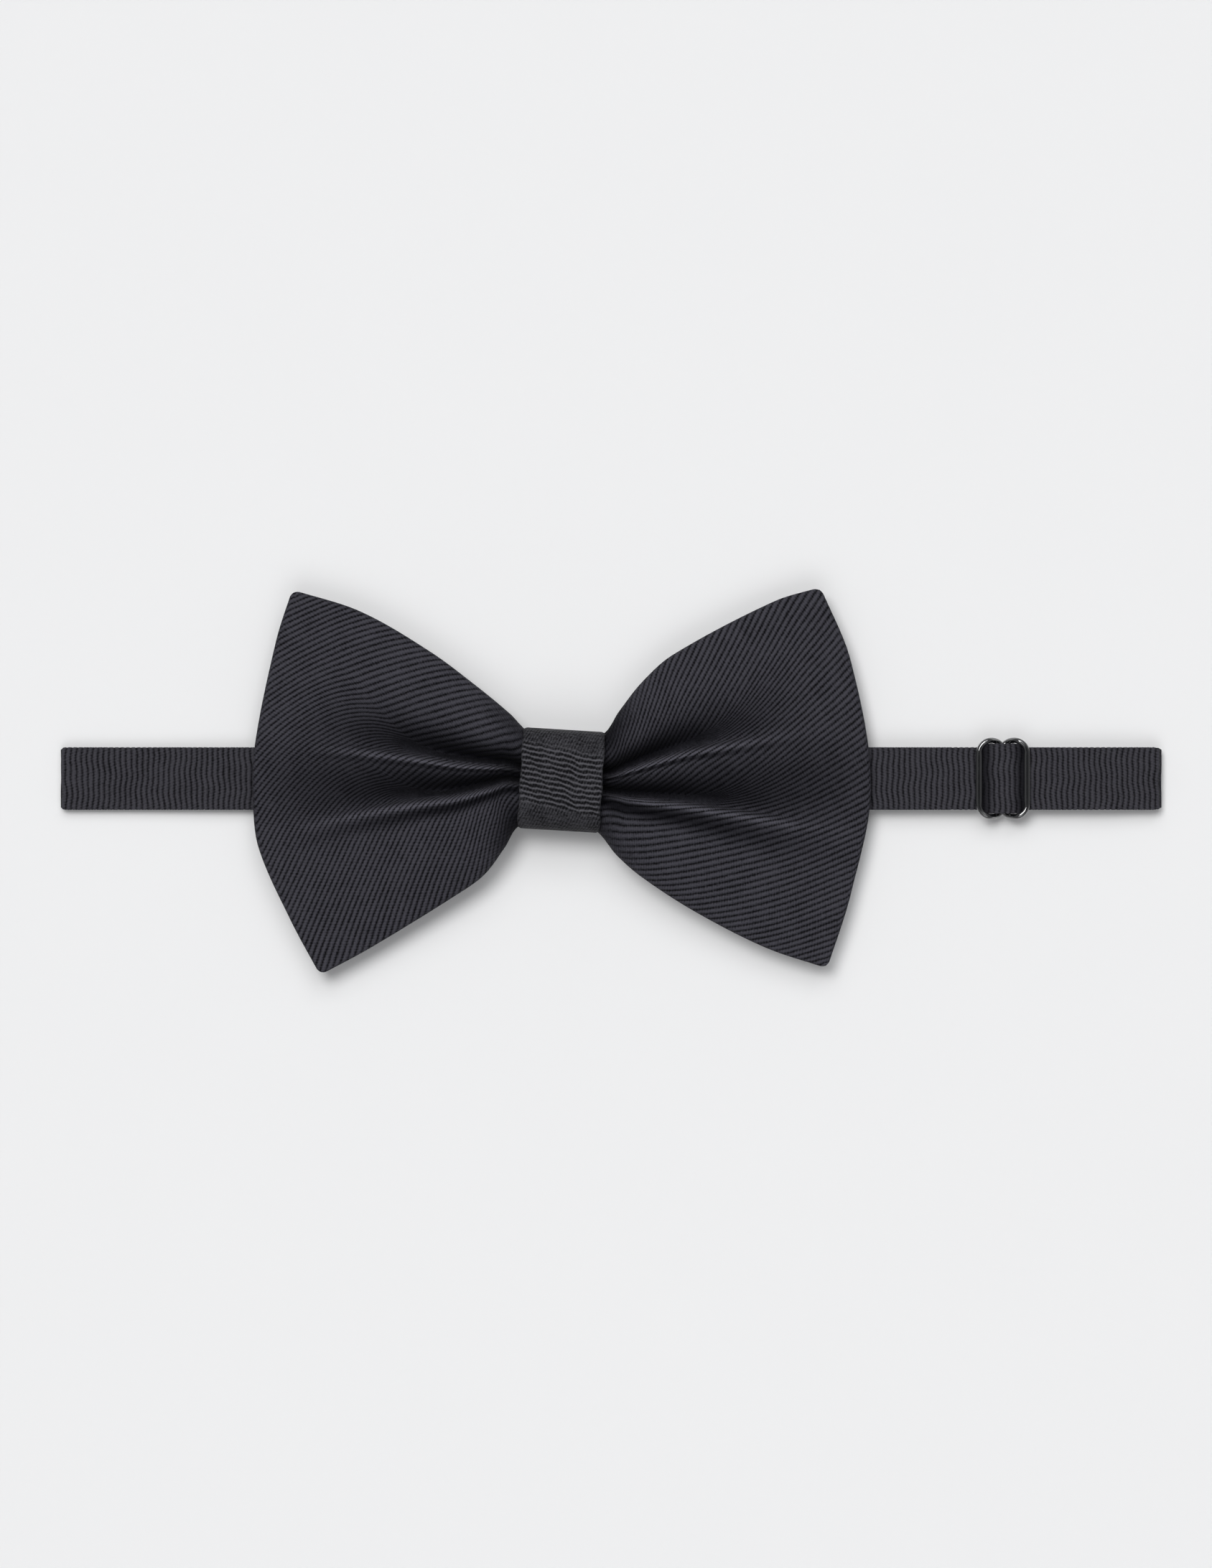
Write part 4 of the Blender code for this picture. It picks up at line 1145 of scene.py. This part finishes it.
# %% Carry a section along a path
def wire_piece(name, path, wide, high, material, closed=True, sides=20):
    path = np.array(path, float)
    count = len(path)
    if closed:
        run = np.roll(path, -1, axis=0) - np.roll(path, 1, axis=0)
    else:
        run = np.gradient(path, axis=0)
    run /= np.linalg.norm(run, axis=-1, keepdims=True)
    aside = np.cross(run, (0, 0, 1.0))
    aside /= np.linalg.norm(aside, axis=-1, keepdims=True)
    over = np.cross(aside, run)
    turn = np.linspace(0, 2 * math.pi, sides, endpoint=False)
    wide = np.broadcast_to(wide, count)[:, None, None] / 2
    high = np.broadcast_to(high, count)[:, None, None] / 2
    points = path[:, None] + aside[:, None] * (np.cos(turn)[None, :, None] * wide)
    points = points + over[:, None] * (np.sin(turn)[None, :, None] * high)
    return make_piece(name, points.reshape(-1, 3), tube_faces(count, sides, closed), material)


def even_ring(path, step):
    """A closed path again, with points a step apart."""
    path = np.array([*path, path[0]], float)
    walked = np.concatenate([[0], np.cumsum(np.linalg.norm(np.diff(path, axis=0), axis=1))])
    even = np.linspace(0, walked[-1], int(walked[-1] / step), endpoint=False)
    return np.stack([np.interp(even, walked, path[:, k]) for k in range(3)], -1)


# %% The slider
SLIDER_WIRE = 1.08
LOBE = 2.5
LOBE_TURN = math.radians(141)
side_x = (slider_high[0] - slider_low[0] - SLIDER_WIRE) / 2
lobe_y = (slider_high[1] - slider_low[1] - SLIDER_WIRE) / 2 - LOBE
SIDE_Z = SLIDER_LEVEL + RIBBON / 2 + SLIDER_WIRE / 2
WAIST_Z = BAR_Z + 0.1

turn = np.linspace(0, LOBE_TURN, 40)
quarter = np.stack([side_x - LOBE + LOBE * np.cos(turn), lobe_y + LOBE * np.sin(turn)], -1)
plan = np.vstack([quarter, quarter[::-1] * (-1, 1), quarter * (-1, -1), quarter[::-1] * (1, -1)])
level = WAIST_Z + (SIDE_Z - WAIST_Z) * smooth(0.5, 3.4, np.abs(plan[:, 0]))
ring = even_ring(np.column_stack([SLIDER_X + plan[:, 0], BAND_Y + plan[:, 1], level]), 0.12)
for _ in range(6):
    ring = (np.roll(ring, 1, axis=0) + 2 * ring + np.roll(ring, -1, axis=0)) / 4
flattened = 0.25 * smooth(6.2, 4.2, np.abs(ring[:, 1] - BAND_Y))
slider_ring = wire_piece("slider_ring", ring, SLIDER_WIRE + flattened, SLIDER_WIRE, slider_enamel, sides=28)
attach(slider_ring, "slider")
belongs(["slider"])

# %% The slider's centre bar
CENTRE_WIRE = 0.8
waist = ring[np.abs(ring[:, 0] - SLIDER_X) < 0.2]
waist_y = np.abs(waist[:, 1] - BAND_Y).min()
bar = [(SLIDER_X, BAND_Y + y, WAIST_Z) for y in np.linspace(-waist_y, waist_y, 30)]
centre_bar = wire_piece("slider_centre_bar", bar, CENTRE_WIRE, CENTRE_WIRE, slider_enamel, closed=False)
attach(centre_bar, "slider")
print(f"the slider is {slider_high[0] - slider_low[0]:.1f} by {slider_high[1] - slider_low[1]:.1f} mm")


# %% [markdown]
# Between the slider's two sides the ribbon bulges up over the hidden centre bar. The bulge travels
# with the slider, so it is a short length of ribbon of its own that rides on it.

# %% The bulge in the slider
bulge_path = [(-4.1, 4.13), (-3.5, 4.22), (-2.4, 4.52), (-1.2, 4.74), (0.0, 4.80)]
bulge_path += [(-x, z) for x, z in bulge_path[-2::-1]]
bulge_path = [(SLIDER_X + x, z) for x, z in bulge_path]
# The bulge is painted darker towards both ends, next to the slider's sides: painted shade.
bulge, length = grosgrain("band_bulge", bulge_path, 0.3, width=BAND_WIDTH + 1.5, painted_end_shade=3.9)
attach(bulge, "slider")

# %% [markdown]
# ### Hook and eye
# The eye is a flat ring with round corners. The hook has the same ring and a tongue of flat steel,
# bent back over itself so that it can catch the eye. The tongue narrows towards its tip.


# %% The eye
def clasp_ring(near_x, far_x):
    """A flat ring with round corners, between two bars."""
    radius = 1.1
    left, right = min(near_x, far_x) + radius, max(near_x, far_x) - radius
    half = (eye_high[1] - eye_low[1] - CLASP_WIRE) / 2 + WIRE_SINK - radius
    path = []
    for x, y, start in ((right, half, 0), (left, half, 90), (left, -half, 180), (right, -half, 270)):
        for k in range(13):
            turn = math.radians(start + 7.5 * k)
            path.append((x + radius * math.cos(turn), BAND_Y + y + radius * math.sin(turn), CLASP_Z))
    return even_ring(path, 0.2)


EYE_END_X = eye_high[0] - CLASP_WIRE / 2 + WIRE_SINK
eye_ring = wire_piece("eye_ring", clasp_ring(EYE_BAR_X, EYE_END_X), CLASP_WIRE, CLASP_WIRE, clasp_enamel)
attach(eye_ring, "eye")
belongs(["eye"])

# %% The hook
HOOK_CROSS_X = 36.5
hook_path = clasp_ring(HOOK_BAR_X, HOOK_CROSS_X)
hook_ring = wire_piece("hook_ring", hook_path, CLASP_WIRE, CLASP_WIRE, clasp_enamel)
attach(hook_ring, "hook")
belongs(["hook"])

# %% The hook's tongue
TONGUE_WIDE, TONGUE_THICK = 5.0, 0.6
tongue_path = [(HOOK_CROSS_X + 0.2, 0.9), (34.5, 0.9), *half_turn(31.5, 1.5, 0.6, 1), (34.4, 2.15)]
spots, walked = even_path(tongue_path, 0.25)
run = np.gradient(spots, axis=0)
run /= np.linalg.norm(run, axis=-1, keepdims=True)
turn = np.linspace(0, 2 * math.pi, 24, endpoint=False)
out = np.sign(np.cos(turn)) * np.abs(np.cos(turn)) ** 0.25 * TONGUE_WIDE / 2
lift = np.sign(np.sin(turn)) * np.abs(np.sin(turn)) ** 0.6 * TONGUE_THICK / 2
narrow = 1 - 0.35 * smooth(walked[-1] - 1.2, walked[-1], walked) ** 2
points = np.stack(
    [
        spots[:, :1] - run[:, 1:] * lift,
        BAND_Y + out[None, :] * narrow[:, None],
        spots[:, 1:] + run[:, :1] * lift,
    ],
    -1,
)
tongue = make_piece("hook_tongue", points.reshape(-1, 3), tube_faces(len(spots), len(turn)), clasp_enamel)
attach(tongue, "hook")

# %% [markdown]
# ## Threads
# The gathering thread and the stitches already have their right shape in the model. They only need
# the look of thread.

# %% Thread on the sewn solids
for node in (
    "gather_thread", "knot_back_stitches", "band_tack_stitches", "eye_loop_stitches", "slider_tail_stitches"
):
    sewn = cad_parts[node]
    sewn.data.materials.clear()
    sewn.data.materials.append(thread)
print("sewn pieces have thread")
